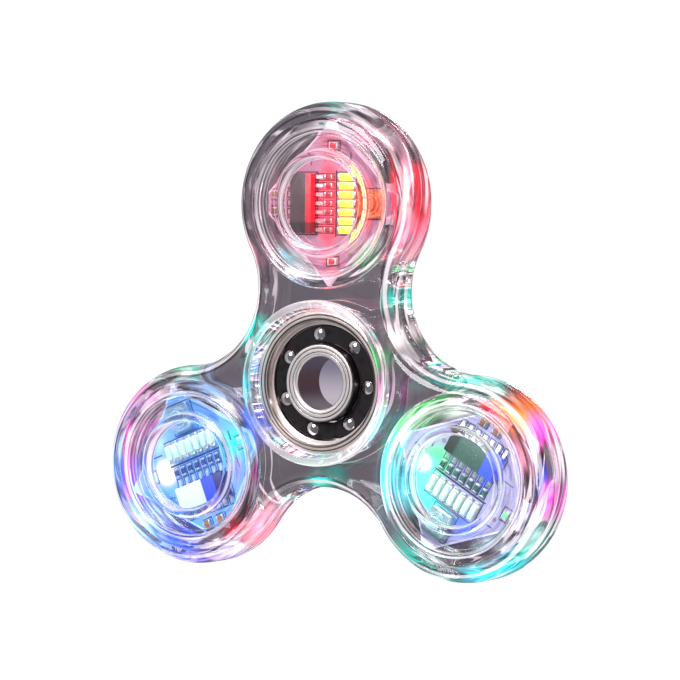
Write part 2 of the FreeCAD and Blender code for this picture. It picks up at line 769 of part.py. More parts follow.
def back_cover(doc, sizes, heights, lobe):
    """Clear cover that closes the pocket, holds the cells and carries the board."""
    rim = sizes.pocket_radius - sizes.cover_gap
    inside, board = heights.cover_inside, heights.board_under
    fence_out = sizes.fence_radius + sizes.fence_wall
    fence_top = inside + sizes.fence_height
    body = turned_body(doc, f"back_cover_{lobe}", [
        (0, heights.cover_outside),
        (rim, heights.cover_outside),
        (rim, board),
        (rim - sizes.cover_wall, board),
        (rim - sizes.cover_wall, inside),
        (fence_out, inside),
        (fence_out, fence_top),
        (sizes.fence_radius, fence_top),
        (sizes.fence_radius, inside),
        (0, inside),
    ])
    place_in_lobe(body, sizes, lobe)


MODULE_PIECES = [
    lens_cap,
    circuit_board,
    controller_chip,
    chip_leads,
    resistor_row,
    lamp_row,
    corner_lamps,
    capacitor_pair,
    mode_switch,
    switch_plunger,
    contact_plate,
    button_cells,
    back_cover,
]


# ---- checks and files ----

def check_document(doc):
    """Stop if any object failed to rebuild."""
    for item in doc.Objects:
        if "Invalid" in item.State or "Error" in item.State:
            raise RuntimeError(f"{item.Name} did not rebuild: {item.State}")


def node_objects(doc):
    """The pieces of the spinner: every body, and the balls."""
    kinds = ("PartDesign::Body", "Part::Sphere")
    return [item for item in doc.Objects if item.TypeId in kinds]


def write_parts(doc):
    """Check each piece's solid and write it to parts/ under its label."""
    pieces = node_objects(doc)
    for piece in pieces:
        shape = piece.Shape
        if shape.isNull() or not shape.isValid() or not shape.Solids:
            raise RuntimeError(f"{piece.Label} has no valid solid")
    os.makedirs("parts", exist_ok=True)
    for piece in pieces:
        piece.Shape.exportStep(f"parts/{piece.Label}.step")
    print(len(pieces), "pieces written")


def main():
    doc = FreeCAD.newDocument("LightUpSpinner")
    sizes = make_sheet(doc)
    add_pocket_sizes(sizes)
    add_waist_sizes(sizes)
    heights = stack_heights(sizes)
    inner_race(doc, sizes)
    outer_race(doc, sizes)
    balls(doc, sizes)
    ball_cage(doc, sizes)
    spinner_body(doc, sizes, heights)
    for lobe in LOBE_ANGLES:
        for make_piece in MODULE_PIECES:
            make_piece(doc, sizes, heights, lobe)
    doc.recompute()
    check_document(doc)
    write_parts(doc)


main()
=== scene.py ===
# %% [markdown]
# # A light-up hand spinner
# The spinner lies on its hub ring on a pale table. One lobe points along +Y, and its front
# faces up (+Z). All lengths are in metres, with the origin at the centre of the bearing.
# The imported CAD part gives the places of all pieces. Each cell adds one group of visible
# pieces, and each piece rides on the CAD body that it moves with.

import math

import bmesh
import bpy
import numpy as np
from mathutils import Matrix, Vector
from mathutils.geometry import delaunay_2d_cdt


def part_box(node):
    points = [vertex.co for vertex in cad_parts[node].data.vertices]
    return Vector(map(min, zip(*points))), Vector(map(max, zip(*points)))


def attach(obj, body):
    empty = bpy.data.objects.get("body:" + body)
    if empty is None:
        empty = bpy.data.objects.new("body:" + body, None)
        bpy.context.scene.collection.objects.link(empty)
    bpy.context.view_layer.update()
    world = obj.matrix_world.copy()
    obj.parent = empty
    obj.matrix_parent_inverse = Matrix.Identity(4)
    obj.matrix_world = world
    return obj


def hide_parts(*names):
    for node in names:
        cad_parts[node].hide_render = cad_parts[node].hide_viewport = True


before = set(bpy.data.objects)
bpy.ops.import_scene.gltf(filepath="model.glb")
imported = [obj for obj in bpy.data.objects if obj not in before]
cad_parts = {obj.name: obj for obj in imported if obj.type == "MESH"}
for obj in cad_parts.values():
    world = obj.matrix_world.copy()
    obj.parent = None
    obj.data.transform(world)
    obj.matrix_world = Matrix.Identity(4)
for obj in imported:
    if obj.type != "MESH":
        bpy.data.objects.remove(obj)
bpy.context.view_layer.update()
print(len(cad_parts), "CAD nodes")

# %% [markdown]
# ## Sizes
# The real spinner is one moulding with three equal lobes 120 degrees apart. Each lobe holds a
# light module that is turned by its own angle. The sizes could be read off the CAD meshes, but
# a few named ones keep the formulas below short. Millimetre sizes are written with MM.
#
# Neighbouring lobes are joined by a hollow arc that touches both. Its centre stands halfway
# between them, and the two arcs meet on the line between their centres.

# %% Sizes
MM = 0.001
ARM = 27.5 * MM
LOBES = {"top": (90, 0), "left": (210, 112), "right": (330, 240)}
DECK, BACK = 4.1 * MM, -4.75 * MM
FRONT_ROUND, BACK_ROUND = 3.4 * MM, 2.2 * MM
HUB_R, HUB_END = 12.7 * MM, 5.65 * MM
POCKET_R, LIP_R, LIP_UNDER = 13.15 * MM, 11.4 * MM, 2.6 * MM
LOBE_R, WAIST_R = 15.6 * MM, 12.5 * MM
HALF_STEP = math.pi / len(LOBES)
WAIST_REACH = ARM * math.cos(HALF_STEP) + math.sqrt(
    (LOBE_R + WAIST_R) ** 2 - (ARM * math.sin(HALF_STEP)) ** 2)
MEET_SHARE = LOBE_R / (LOBE_R + WAIST_R)
MEET_R = math.hypot(MEET_SHARE * WAIST_REACH * math.sin(HALF_STEP),
                    (1 - MEET_SHARE) * ARM + MEET_SHARE * WAIST_REACH * math.cos(HALF_STEP))


def lobe_centre(lobe):
    """Centre of a lobe: x = ARM cos a, y = ARM sin a, for the lobe's angle a."""
    angle = math.radians(LOBES[lobe][0])
    return np.array([ARM * math.cos(angle), ARM * math.sin(angle)])


def into_lobe(points, lobe):
    """Turn points by the module's angle t and move them to the lobe:
    x' = x cos t - y sin t + cx,  y' = x sin t + y cos t + cy,  z' = z."""
    turn = math.radians(LOBES[lobe][1])
    cx, cy = lobe_centre(lobe)
    x, y, z = points.T
    return np.stack([x * np.cos(turn) - y * np.sin(turn) + cx,
                     x * np.sin(turn) + y * np.cos(turn) + cy, z], axis=1)


print("lobes at", {lobe: (lobe_centre(lobe) / MM).round(2).tolist() for lobe in LOBES})
print("arcs meet", round(MEET_R / MM, 2), "mm from the hub's axis")

# %% [markdown]
# ## Joining surfaces into pieces
# Each visible piece of the real object is a moulding, a turned part or a small block. Blender's
# modifiers could build them, but here every surface is a formula on a grid of points: it is
# exact, quick, and the same each time. A surface is a list of points and a list of faces.
# Surfaces are joined, and points that coincide are welded, so each piece is one closed mesh.

# %% Weld and make a piece
WELD = 1e-7


def weld(parts):
    """Join parts and merge points that round to the same WELD step. A part is (points, faces)
    or (points, faces, material number)."""
    points = np.concatenate([part[0] for part in parts])
    starts = np.cumsum([0] + [len(part[0]) for part in parts[:-1]])
    faces, paints = [], []
    for part, start in zip(parts, starts):
        faces += [[index + start for index in face] for face in part[1]]
        paints += [part[2] if len(part) > 2 else 0] * len(part[1])
    keys = np.round(points / WELD).astype(np.int64)
    _, first, inverse = np.unique(keys, axis=0, return_index=True, return_inverse=True)
    inverse = inverse.reshape(-1)
    welded, kept = [], []
    for face, paint in zip(faces, paints):
        ring = [int(inverse[index]) for index in face]
        ring = [index for i, index in enumerate(ring) if index != ring[i - 1]]
        if len(ring) > 2:
            welded.append(ring)
            kept.append(paint)
    return points[first], welded, kept


def grid_faces(rows, columns, wrap_rows=False):
    """Quads between neighbouring points of a rows x columns grid; columns always wrap."""
    r = np.arange(rows if wrap_rows else rows - 1)[:, None]
    c = np.arange(columns)[None, :]
    down, right = (r + 1) % rows, (c + 1) % columns
    quads = np.stack(np.broadcast_arrays(
        r * columns + c, r * columns + right, down * columns + right, down * columns + c), -1)
    return quads.reshape(-1, 4).tolist()


def make_piece(name, parts, materials, body, replaced, sharp=30):
    """Weld the parts into one mesh object, turn its faces outward, smooth it except at sharp
    edges, and let it ride."""
    points, faces, paints = weld(parts)
    mesh = bpy.data.meshes.new(name)
    mesh.from_pydata(points.tolist(), [], faces)
    mesh.polygons.foreach_set("material_index", paints)
    work = bmesh.new()
    work.from_mesh(mesh)
    bmesh.ops.recalc_face_normals(work, faces=work.faces)
    open_edges = sum(not edge.is_manifold for edge in work.edges)
    work.to_mesh(mesh)
    work.free()
    mesh.polygons.foreach_set("use_smooth", np.ones(len(mesh.polygons), bool))
    mesh.set_sharp_from_angle(angle=math.radians(sharp))
    for material in materials:
        mesh.materials.append(material)
    piece = bpy.data.objects.new(name, mesh)
    bpy.context.scene.collection.objects.link(piece)
    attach(piece, body)
    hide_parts(*replaced)
    print(f"{name}: {len(faces)} faces, {open_edges} open edges")


print("pieces can be made")

# %% [markdown]
# ## Turned and boxed shapes
# Caps, covers, rings and cells are turned round an axis, as on a lathe, and the small parts on
# a board are boxes with soft edges. A profile is a few corners with a radius each, as in a
# drawing, so an edge shows its rounding without a Bevel modifier.

# %% Turned and boxed shapes
def rounded(corners, steps=5):
    """Round the corners of an open profile. Each corner is (r, z, radius): with half angle h
    between its sides, the arc starts and ends radius / tan h from the corner."""
    points = [np.array(corner[:2], float) for corner in corners]
    out = []
    for i, corner in enumerate(corners):
        radius = corner[2] if len(corner) > 2 else 0
        if radius == 0 or i in (0, len(corners) - 1):
            out.append(points[i])
            continue
        a = points[i - 1] - points[i]
        b = points[i + 1] - points[i]
        a, b = a / np.linalg.norm(a), b / np.linalg.norm(b)
        half = math.acos(np.clip(a @ b, -1, 1)) / 2
        middle = (a + b) / np.linalg.norm(a + b)
        centre = points[i] + middle * radius / math.sin(half)
        start = points[i] + a * radius / math.tan(half) - centre
        end = points[i] + b * radius / math.tan(half) - centre
        swing = math.atan2(start[0] * end[1] - start[1] * end[0], start @ end)
        for t in np.linspace(0, swing, steps + 1):
            out.append(centre + [start[0] * math.cos(t) - start[1] * math.sin(t),
                                 start[0] * math.sin(t) + start[1] * math.cos(t)])
    return np.array(out)


def lathe(profile, closed=False, turns=192):
    """Turn a profile of (r, z): x = r cos a, y = r sin a. An open one ends on the axis or is
    joined to other parts, and a closed one meets itself."""
    profile = np.array(profile, float)
    angle = np.linspace(0, 2 * np.pi, turns, endpoint=False)
    r, z = profile[:, 0][:, None], profile[:, 1][:, None]
    points = np.stack(np.broadcast_arrays(r * np.cos(angle), r * np.sin(angle), z), -1)
    return points.reshape(-1, 3), grid_faces(len(profile), turns, wrap_rows=closed)


def moved(part, shift):
    """The same part, moved by shift."""
    return part[0] + np.array(shift), part[1]


def soft_box(centre, size, bevel, steps=3):
    """A box with rounded edges. Points of a unit sphere's grid, pushed out to the corners of
    the box less the bevel: p = sign(n) (size / 2 - bevel) + bevel n."""
    count = 4 * steps
    theta = (np.arange(count) + 0.5) * 2 * np.pi / count
    phi = np.linspace(-np.pi / 2, np.pi / 2, 2 * steps)
    n = np.stack(np.broadcast_arrays(
        np.cos(phi)[:, None] * np.cos(theta), np.cos(phi)[:, None] * np.sin(theta),
        np.sin(phi)[:, None]), -1).reshape(-1, 3)
    side = np.stack(np.broadcast_arrays(
        np.sign(np.cos(theta))[None, :], np.sign(np.sin(theta))[None, :],
        np.sign(phi)[:, None]), -1).reshape(-1, 3)
    points = side * (np.array(size) / 2 - bevel) + bevel * n + np.array(centre)
    faces = grid_faces(2 * steps, count)
    faces.append(list(range(count))[::-1])
    faces.append(list(range((2 * steps - 1) * count, 2 * steps * count)))
    return points, faces


print("a soft box has", len(soft_box((0, 0, 0), (1, 1, 1), 0.1)[1]), "faces")

# %% [markdown]
# ## Shader numbers
# The streaks in the plastic, the print on the boards and the turning marks on the steel all
# depend on where a point is, so each is arithmetic on its place. Such a pattern could be wired
# by hand from Math nodes, but dozens of them are slow to read. Num adds the same nodes from
# formulas that are written as ordinary sums and products.

# %% Shader numbers
class Num:
    """A number worked out by the material, with + - * / and a few functions."""

    def __init__(self, mat, socket):
        self.mat, self.socket = mat, socket

    def math(self, operation, *values):
        """One Math node on the given values."""
        node = self.mat.node("ShaderNodeMath", {"operation": operation}, dict(enumerate(values)))
        return Num(self.mat, node.outputs[0])

    def __add__(self, other): return self.math("ADD", self, other)
    def __radd__(self, other): return self.math("ADD", other, self)
    def __sub__(self, other): return self.math("SUBTRACT", self, other)
    def __rsub__(self, other): return self.math("SUBTRACT", other, self)
    def __mul__(self, other): return self.math("MULTIPLY", self, other)
    def __rmul__(self, other): return self.math("MULTIPLY", other, self)
    def __truediv__(self, other): return self.math("DIVIDE", self, other)
    def __rtruediv__(self, other): return self.math("DIVIDE", other, self)
    def __pow__(self, other): return self.math("POWER", self, other)
    def __rpow__(self, other): return self.math("POWER", other, self)
    def __abs__(self): return self.math("ABSOLUTE", self)
    def sin(self): return self.math("SINE", self)
    def fract(self): return self.math("FRACT", self)
    def most(self, other): return self.math("MAXIMUM", self, other)
    def least(self, other): return self.math("MINIMUM", self, other)

    def rise(self, low, high):
        """Smoothly 0 to 1 as the number goes from low to high."""
        node = self.mat.node("ShaderNodeMapRange", {"interpolation_type": "SMOOTHSTEP"},
                             {"Value": self, "From Min": low, "From Max": high})
        return Num(self.mat, node.outputs[0])

    def band(self, low, high, soft):
        """1 between low and high, fading over soft on both sides."""
        return self.rise(low - soft, low) * (1 - self.rise(high, high + soft))


print("shader numbers ready")

# %% [markdown]
# ## Materials under construction
# No finish on the real spinner is even: plastic has waves, steel has stains, resin has grain.
# So each finish is a small node tree, and Mat.node is the one way to add a node to it. A UV
# map could place the patterns, but it would need unwrapping. Object coordinates need none, and
# a pattern that reads them stays on its piece when the spinner turns.

# %% Materials under construction
class Mat:
    """A material under construction."""

    def __init__(self, name):
        self.material = bpy.data.materials.new(name)
        self.material.use_nodes = True
        self.tree = self.material.node_tree
        self.tree.nodes.clear()
        self.place = self.node("ShaderNodeTexCoord").outputs["Object"]
        split = self.node("ShaderNodeSeparateXYZ", {}, {0: self.place})
        self.x, self.y, self.z = (Num(self, split.outputs[i]) for i in range(3))

    def node(self, kind, settings=None, inputs=None):
        """Add a node, set its settings, and fill its sockets with values or links."""
        node = self.tree.nodes.new(kind)
        for key, value in (settings or {}).items():
            setattr(node, key, value)
        for key, value in (inputs or {}).items():
            socket = node.inputs[key]
            if isinstance(value, Num):
                value = value.socket
            if isinstance(value, bpy.types.NodeSocket):
                self.tree.links.new(value, socket)
            elif isinstance(value, tuple) and len(value) == 3 and socket.type == "RGBA":
                socket.default_value = (*value, 1)
            else:
                socket.default_value = value
        return node

    def mix(self, a, b, factor, blend="MIX"):
        """Colour a where factor is 0 and b where it is 1."""
        node = self.node("ShaderNodeMix", {"data_type": "RGBA", "blend_type": blend},
                         {0: factor, 6: a, 7: b})
        return node.outputs[2]

    def noise(self, scale, detail=2.0, place=None, distortion=0.0):
        """Smooth noise from 0 to 1."""
        node = self.node("ShaderNodeTexNoise", {}, {
            "Vector": place or self.place, "Scale": scale, "Detail": detail,
            "Distortion": distortion})
        return Num(self, node.outputs["Fac"])

    def cells(self, scale):
        """Distance to the nearest of many scattered points."""
        node = self.node("ShaderNodeTexVoronoi", {}, {"Vector": self.place, "Scale": scale})
        return Num(self, node.outputs["Distance"])

    def far(self, centre):
        """Distance in plan from a vertical axis."""
        dx, dy = self.x - float(centre[0]), self.y - float(centre[1])
        return (dx * dx + dy * dy) ** 0.5

    def near_lobe(self):
        """Distance in plan from the nearest lobe axis."""
        top, left, right = (self.far(lobe_centre(lobe)) for lobe in LOBES)
        return top.least(left).least(right)

    def near_waist(self):
        """Distance in plan from the axis of the nearest hollow between two lobes."""
        turns = [math.radians(angle) + HALF_STEP for angle, _ in LOBES.values()]
        one, two, three = (self.far((WAIST_REACH * math.cos(a), WAIST_REACH * math.sin(a)))
                           for a in turns)
        return one.least(two).least(three)

    def tinted(self, base, light, most):
        """The base colour, drawn towards the colour of the light where the light is strong."""
        length = self.node("ShaderNodeVectorMath", {"operation": "LENGTH"}, {0: light})
        amount = Num(self, length.outputs["Value"]).rise(0.0, 0.7) * most
        return self.mix(base, light, amount)

    def vector(self, x, y, z):
        """Three numbers as one vector."""
        return self.node("ShaderNodeCombineXYZ", {}, {0: x, 1: y, 2: z}).outputs[0]

    def bump(self, height, strength, distance):
        """The surface's normal, tilted by a height pattern."""
        node = self.node("ShaderNodeBump", {}, {
            "Height": height, "Strength": strength, "Distance": distance})
        return node.outputs[0]

    def finish(self, see_through=False, **sockets):
        """Close the material with a Principled shader; shadows pass if it is see-through."""
        inputs = {key.replace("_", " "): value for key, value in sockets.items()}
        shader = self.node("ShaderNodeBsdfPrincipled", {}, inputs).outputs[0]
        if see_through:
            clear = self.node("ShaderNodeBsdfTransparent", {}, {0: (0.93, 0.93, 0.95)})
            shadow = self.node("ShaderNodeLightPath").outputs["Is Shadow Ray"]
            shader = self.node("ShaderNodeMixShader", {}, {
                0: shadow, 1: shader, 2: clear.outputs[0]}).outputs[0]
        self.node("ShaderNodeOutputMaterial", {}, {"Surface": shader})
        return self.material


print("material helpers ready")

# %% [markdown]
# ## The coloured light
# The lit modules send coloured light into the clear plastic, where the moulding's edges catch
# it. Traced light from tiny lamps through thick plastic would stay noisy for hours, so the
# plastic itself glows in soft patches where the light gathers. Each patch is (angle, distance,
# depth, breadth, colour, strength): its place from the lobe's or hub's axis, and its half sizes
# outwards and round, in mm.

# %% Light patches
RED, PINK, MAGENTA = (1.0, 0.03, 0.06), (1.0, 0.36, 0.50), (1.0, 0.05, 0.6)
BLUE, SKY, CYAN = (0.02, 0.12, 1.0), (0.35, 0.60, 1.0), (0.05, 0.80, 0.95)
TEAL, GREEN, MINT = (0.0, 0.55, 0.42), (0.03, 0.75, 0.15), (0.25, 0.95, 0.65)
VIOLET, ORANGE, WHITE = (0.52, 0.36, 0.95), (1.0, 0.25, 0.04), (0.9, 0.95, 1.0)
PLAIN, BLACK = (1.0, 1.0, 1.0), (0.0, 0.0, 0.0)
PATCHES = {
    "top": [
        (92, 15.0, 0.8, 4.0, TEAL, 0.5), (84, 11.6, 0.7, 2.5, TEAL, 0.6),
        (234, 9.9, 1.2, 2.4, CYAN, 0.7), (-47, 9.8, 1.3, 2.6, GREEN, 0.7),
        (4, 12.6, 0.7, 7.0, RED, 0.7), (16, 15.0, 0.5, 6.5, PINK, 0.5),
        (-25, 12.8, 0.7, 4.0, PINK, 0.5), (-48, 19.0, 2.0, 2.6, TEAL, 0.8),
        (180, 8.6, 1.0, 6.5, PINK, 0.35), (215, 14.0, 1.4, 6.0, PINK, 0.25),
        (60, 12.2, 1.2, 4.5, PINK, 0.45)],
    "left": [
        (185, 15.0, 1.1, 9.0, SKY, 1.0), (150, 14.9, 1.1, 5.0, VIOLET, 0.6),
        (133, 15.0, 1.2, 3.5, MAGENTA, 0.8), (180, 11.6, 0.9, 7.5, MAGENTA, 0.6),
        (200, 12.6, 1.6, 5.5, BLUE, 0.9), (225, 13.6, 1.5, 5.0, SKY, 1.1),
        (250, 12.6, 1.6, 5.5, BLUE, 0.9), (275, 14.6, 1.0, 6.5, VIOLET, 0.6),
        (196, 8.2, 1.6, 2.2, WHITE, 0.8), (24, 8.5, 2.8, 3.4, TEAL, 0.9),
        (-2, 9.0, 1.0, 3.2, MAGENTA, 0.8), (311, 12.6, 1.3, 2.2, RED, 0.8),
        (325, 15.2, 1.0, 5.5, PINK, 0.7), (75, 12.4, 1.2, 5.0, SKY, 0.5),
        (105, 14.8, 0.9, 5.0, MINT, 0.45), (300, 7.4, 1.2, 2.0, RED, 0.5)],
    "right": [
        (95, 14.6, 1.3, 9.0, TEAL, 0.9), (118, 11.8, 1.2, 4.5, GREEN, 0.8),
        (47, 13.6, 2.0, 3.8, ORANGE, 1.1), (58, 12.2, 1.4, 3.0, RED, 0.9),
        (33, 15.4, 0.8, 2.8, MAGENTA, 1.0), (-10, 15.3, 0.8, 3.2, MAGENTA, 0.8),
        (1, 14.4, 0.9, 3.0, BLUE, 0.8), (175, 12.2, 1.4, 7.0, CYAN, 1.0),
        (160, 8.4, 1.3, 1.8, WHITE, 0.9), (150, 12.4, 1.5, 4.0, GREEN, 0.8),
        (200, 9.0, 1.2, 2.4, CYAN, 0.8), (285, 8.3, 1.3, 3.0, BLUE, 0.5),
        (240, 14.4, 1.5, 8.0, TEAL, 0.8), (285, 14.2, 1.4, 7.0, CYAN, 0.8),
        (320, 14.6, 1.1, 5.5, TEAL, 0.7), (20, 11.8, 1.1, 4.0, PINK, 0.6)],
    "hub": [
        (157, 13.4, 1.6, 4.5, TEAL, 0.9), (204, 13.8, 1.5, 4.5, BLUE, 0.8),
        (186, 12.4, 1.0, 3.5, CYAN, 0.7), (270, 12.2, 1.2, 7.0, MINT, 0.35),
        (88, 10.9, 0.9, 2.2, RED, 0.8), (22, 11.6, 0.6, 2.6, GREEN, 0.8),
        (-4, 11.9, 0.6, 2.8, MAGENTA, 0.8), (-28, 12.2, 0.9, 3.0, CYAN, 0.9),
        (270, 14.4, 1.6, 2.6, TEAL, 1.6), (60, 13.2, 1.0, 6.0, PINK, 0.3),
        (31, 14.8, 1.5, 2.4, (1.0, 0.85, 0.85), 1.3), (150, 14.8, 1.5, 2.6, TEAL, 1.3)],
}
print(sum(len(group) for group in PATCHES.values()), "light patches")

# %% [markdown]
# ## Painted shade and gleams
# Parts of each lobe's shoulder stay unlit: they are darkened with painted shade and look like
# smoke. Between a board's edges and the pocket wall, the back cover shows through with
# painted leaf-shaped gleams. Both use the same patches, so one function adds up all three tables.

# %% Quiet places and gleams
PALE, ICE, BLUSH = (0.85, 0.95, 0.88), (0.95, 0.98, 0.96), (0.95, 0.75, 0.95)
# Painted shade: where these patches lie, the body's shoulders are darkened and lose their glow.
SHOULDER_SHADE = {
    "top": [(104, 13.9, 1.5, 7.5, PLAIN, 1.0), (150, 14.0, 1.3, 6.5, PLAIN, 0.9),
            (190, 14.0, 1.0, 5.0, PLAIN, 0.7)],
    "left": [(92, 13.8, 1.4, 6.0, PLAIN, 1.0), (60, 13.9, 1.2, 4.0, PLAIN, 0.8)],
    "right": [(262, 14.0, 1.3, 6.0, PLAIN, 0.9), (300, 14.0, 1.0, 4.0, PLAIN, 0.7),
              (120, 13.7, 1.0, 3.0, PLAIN, 0.5)],
}
# Painted highlights: leaf-shaped gleams on the back covers.
LEAF_GLEAMS = {
    "top": [(-42, 10.2, 1.5, 3.8, PALE, 1.5), (-62, 10.0, 0.9, 2.0, GREEN, 0.8),
            (228, 10.3, 1.4, 3.6, (0.85, 0.80, 0.84), 1.2),
            (48, 10.3, 1.1, 3.0, (0.62, 0.76, 0.70), 1.0)],
    "left": [(67, 10.3, 1.5, 4.0, ICE, 1.6), (-20, 10.2, 1.4, 3.2, BLUSH, 1.3),
             (160, 10.0, 1.0, 3.0, VIOLET, 0.9), (247, 10.0, 1.0, 3.0, BLUE, 1.0)],
    "right": [(15, 10.3, 1.4, 3.6, (0.95, 0.85, 0.92), 1.5),
              (105, 10.3, 1.3, 3.2, (0.80, 0.86, 0.84), 1.2),
              (195, 10.0, 1.2, 3.2, (0.6, 1.0, 0.9), 0.9),
              (285, 10.0, 1.1, 3.0, (0.7, 0.85, 1.0), 1.0)],
}
SPREAD = 1.45


def add_patches(mat, where, patches, total=BLACK, wide=1.0, gain=1.0):
    """Adds patches round one axis to a colour. A patch is 1 - smoothstep of its elliptical
    distance."""
    centre = (0.0, 0.0) if where == "hub" else lobe_centre(where)
    for angle, distance, depth, breadth, colour, strength in patches:
        turn = math.radians(angle)
        spot = (centre[0] + distance * MM * math.cos(turn),
                centre[1] + distance * MM * math.sin(turn), 0.0)
        local = mat.node("ShaderNodeMapping", {"vector_type": "TEXTURE"}, {
            "Vector": mat.place, "Location": spot, "Rotation": (0.0, 0.0, turn),
            "Scale": (depth * MM * wide, breadth * MM * wide, 1.0)})
        reach = mat.node("ShaderNodeVectorMath", {"operation": "LENGTH"}, {0: local.outputs[0]})
        mask = 1 - Num(mat, reach.outputs["Value"]).rise(0.0, 1.0)
        paint = tuple(strength * gain * c for c in colour)
        total = mat.node("ShaderNodeVectorMath", {"operation": "MULTIPLY_ADD"},
                         {0: paint, 1: mask, 2: total}).outputs[0]
    return total


def patch_light(mat, table, gain=1.0):
    """Sum of all the patches of a table, each spread a little past its drawn size."""
    total = BLACK
    for where, patches in table.items():
        total = add_patches(mat, where, patches, total, SPREAD, gain)
    return total


print(sum(len(group) for group in SHOULDER_SHADE.values()), "quiet places")
print(sum(len(group) for group in LEAF_GLEAMS.values()), "gleams")

# %% [markdown]
# ## Threads in the plastic: painted reflections
# The real plastic shows fine bright and dark lines that run round each lobe, along each neck
# and round the hub. They are the lamps and the room mirrored in its curved edges, so here they
# are painted reflections: dark threads in the base colour, and white and coloured ones in the
# emission. Thin curves laid in the plastic would look like wires, and exact ray paths would take
# hours. Noise that changes fast with one distance and slowly along the rest gives lines that follow the
# outline.

# %% Threads in the plastic
ACROSS, UPWARDS, ALONG = 1100, 700, 120
DARK_REFLECTION_LINES, COLOURED_LIGHT_LINES, WHITE_HIGHLIGHT_LINES = (0, 0.36, 0.50), (31, 0.42, 0.58), (67, 0.55, 0.60)


def threads(mat, distance, seed, low, high):
    """Painted threads of light and shade that run along lines of equal distance: noise that
    changes fast with the distance (ACROSS), less with the height (UPWARDS) and slowly in plan (ALONG)."""
    place = mat.vector(distance * ACROSS + seed, mat.x * ALONG, mat.y * ALONG + mat.z * UPWARDS)
    return mat.noise(1.0, 3.0, place, 0.8).rise(low, high)


def body_distance(mat, near, hub):
    """The distance that the body's threads follow: to the lobe's axis on a lobe, from the
    hollow's axis on a neck, to the hub's axis by its ring, and to the lobe's axis in a pocket."""
    flow = WAIST_R + LOBE_R - mat.near_waist()
    for goal, share in (
            (near, hub.rise(MEET_R - 0.45 * MM, MEET_R + 0.45 * MM)),
            (hub, 1 - hub.rise(HUB_R + 0.5 * MM, HUB_R + 1.5 * MM)),
            (near, 1 - near.rise(POCKET_R + 0.1 * MM, POCKET_R + 0.3 * MM))):
        flow = flow + (goal - flow) * share
    return flow


print("threads ready")

# %% [markdown]
# ## Finishes of the three clear parts
# The body, the caps and the covers are one clear plastic, but each is lit in its own way. The
# body's flat front is darkened with painted shade, with a painted dark line and painted
# highlight lines at its edges. A cap's window stays clear. The cover carries the painted gleams.
# Each function changes the base colour, the share of coloured light and the share of white threads.

# %% Finishes of the clear parts
def body_finish(mat, near, hub, colour, share, shine):
    """Painted shade on the flat front face and on the quiet shoulders, a painted dark line round
    the front's edge, painted highlight lines on the rim, the lip and the hub ring, and a plain back."""
    # Painted shade: the flat front face takes a darker tone and loses most of its glow.
    painted_shade = mat.z.rise(DECK - 0.42 * MM, DECK - 0.36 * MM)
    # Painted shade on the quiet shoulders, read from the shoulder shade patches.
    amount = mat.node("ShaderNodeVectorMath", {"operation": "DOT_PRODUCT"}, {
        0: patch_light(mat, SHOULDER_SHADE), 1: (1.0, 0.0, 0.0)})
    quiet = Num(mat, amount.outputs["Value"]).rise(0.15, 0.5)
    painted_shade = painted_shade.most(quiet * mat.z.rise(1.0 * MM, 2.6 * MM) * 0.95)
    painted_shade = painted_shade * (1 - mat.z.rise(DECK + 0.005 * MM, DECK + 0.02 * MM))
    # Painted dark line just under the front's edge, a painted dark reflection.
    painted_dark_line = mat.z.band(DECK - 0.56 * MM, DECK - 0.40 * MM, 0.05 * MM)
    # Painted highlights: pale lines on the rim, the lip and the hub ring.
    rim_line = mat.z.band(DECK - 1.05 * MM, DECK - 0.70 * MM, 0.08 * MM)
    rim_line = rim_line * near.rise(POCKET_R + 0.05 * MM, POCKET_R + 0.15 * MM)
    lip_line = near.band(LIP_R + 0.02 * MM, LIP_R + 0.30 * MM, 0.05 * MM)
    lip_line = lip_line * mat.z.band(DECK - 0.3 * MM, DECK, 0.05 * MM)
    hub_line = mat.z.rise(HUB_END - 0.4 * MM, HUB_END - 0.2 * MM)
    hub_line = hub_line + hub.band(HUB_R - 0.15 * MM, HUB_R + 0.05 * MM, 0.05 * MM) * 0.5
    drawn = rim_line.most(lip_line * 0.8).most(hub_line * 0.8) * mat.noise(55.0).rise(0.30, 0.60)
    # The painted shade on the front face is cloudy: two tones mixed by noise.
    cloud = mat.noise(60.0, 4.0, distortion=1.0).rise(0.3, 0.75)
    shade_tone = mat.mix((0.66, 0.60, 0.68), (0.92, 0.86, 0.92), cloud)
    shade_tone = mat.mix(shade_tone, (0.46, 0.41, 0.47), quiet * 0.7)
    low = 1 - mat.z.rise(BACK + 0.02 * MM, BACK + 0.1 * MM)
    colour = mat.mix(mat.mix(colour, (0.95, 0.93, 0.95), low), shade_tone, painted_shade)
    colour = mat.mix(colour, (0.06, 0.04, 0.05), painted_dark_line * 0.9)
    share = share * (1 - 0.9 * painted_shade) * (1 - 0.85 * low)
    shine = (shine * (1 - painted_shade)).most(drawn * 0.75) * (1 - low)
    return colour, share, shine, 1 - painted_shade


def cap_finish(mat, near, colour, share, shine):
    """A clear window, and painted highlight lines on both sides of the ridge and round the shoulder."""
    clear = 1 - near.rise(6.75 * MM, 6.95 * MM)
    # Painted highlights: thin rings of pale emission beside the ridge and round the shoulder.
    lines = near.band(6.95 * MM, 7.15 * MM, 0.08 * MM).most(near.band(8.0 * MM, 8.2 * MM, 0.08 * MM))
    lines = lines.most(near.band(10.9 * MM, 11.1 * MM, 0.08 * MM))
    colour = mat.mix(colour, (1.0, 0.99, 1.0), clear)
    return colour, share * (1 - clear), shine * (1 - clear) + lines * 0.3, 1 - clear


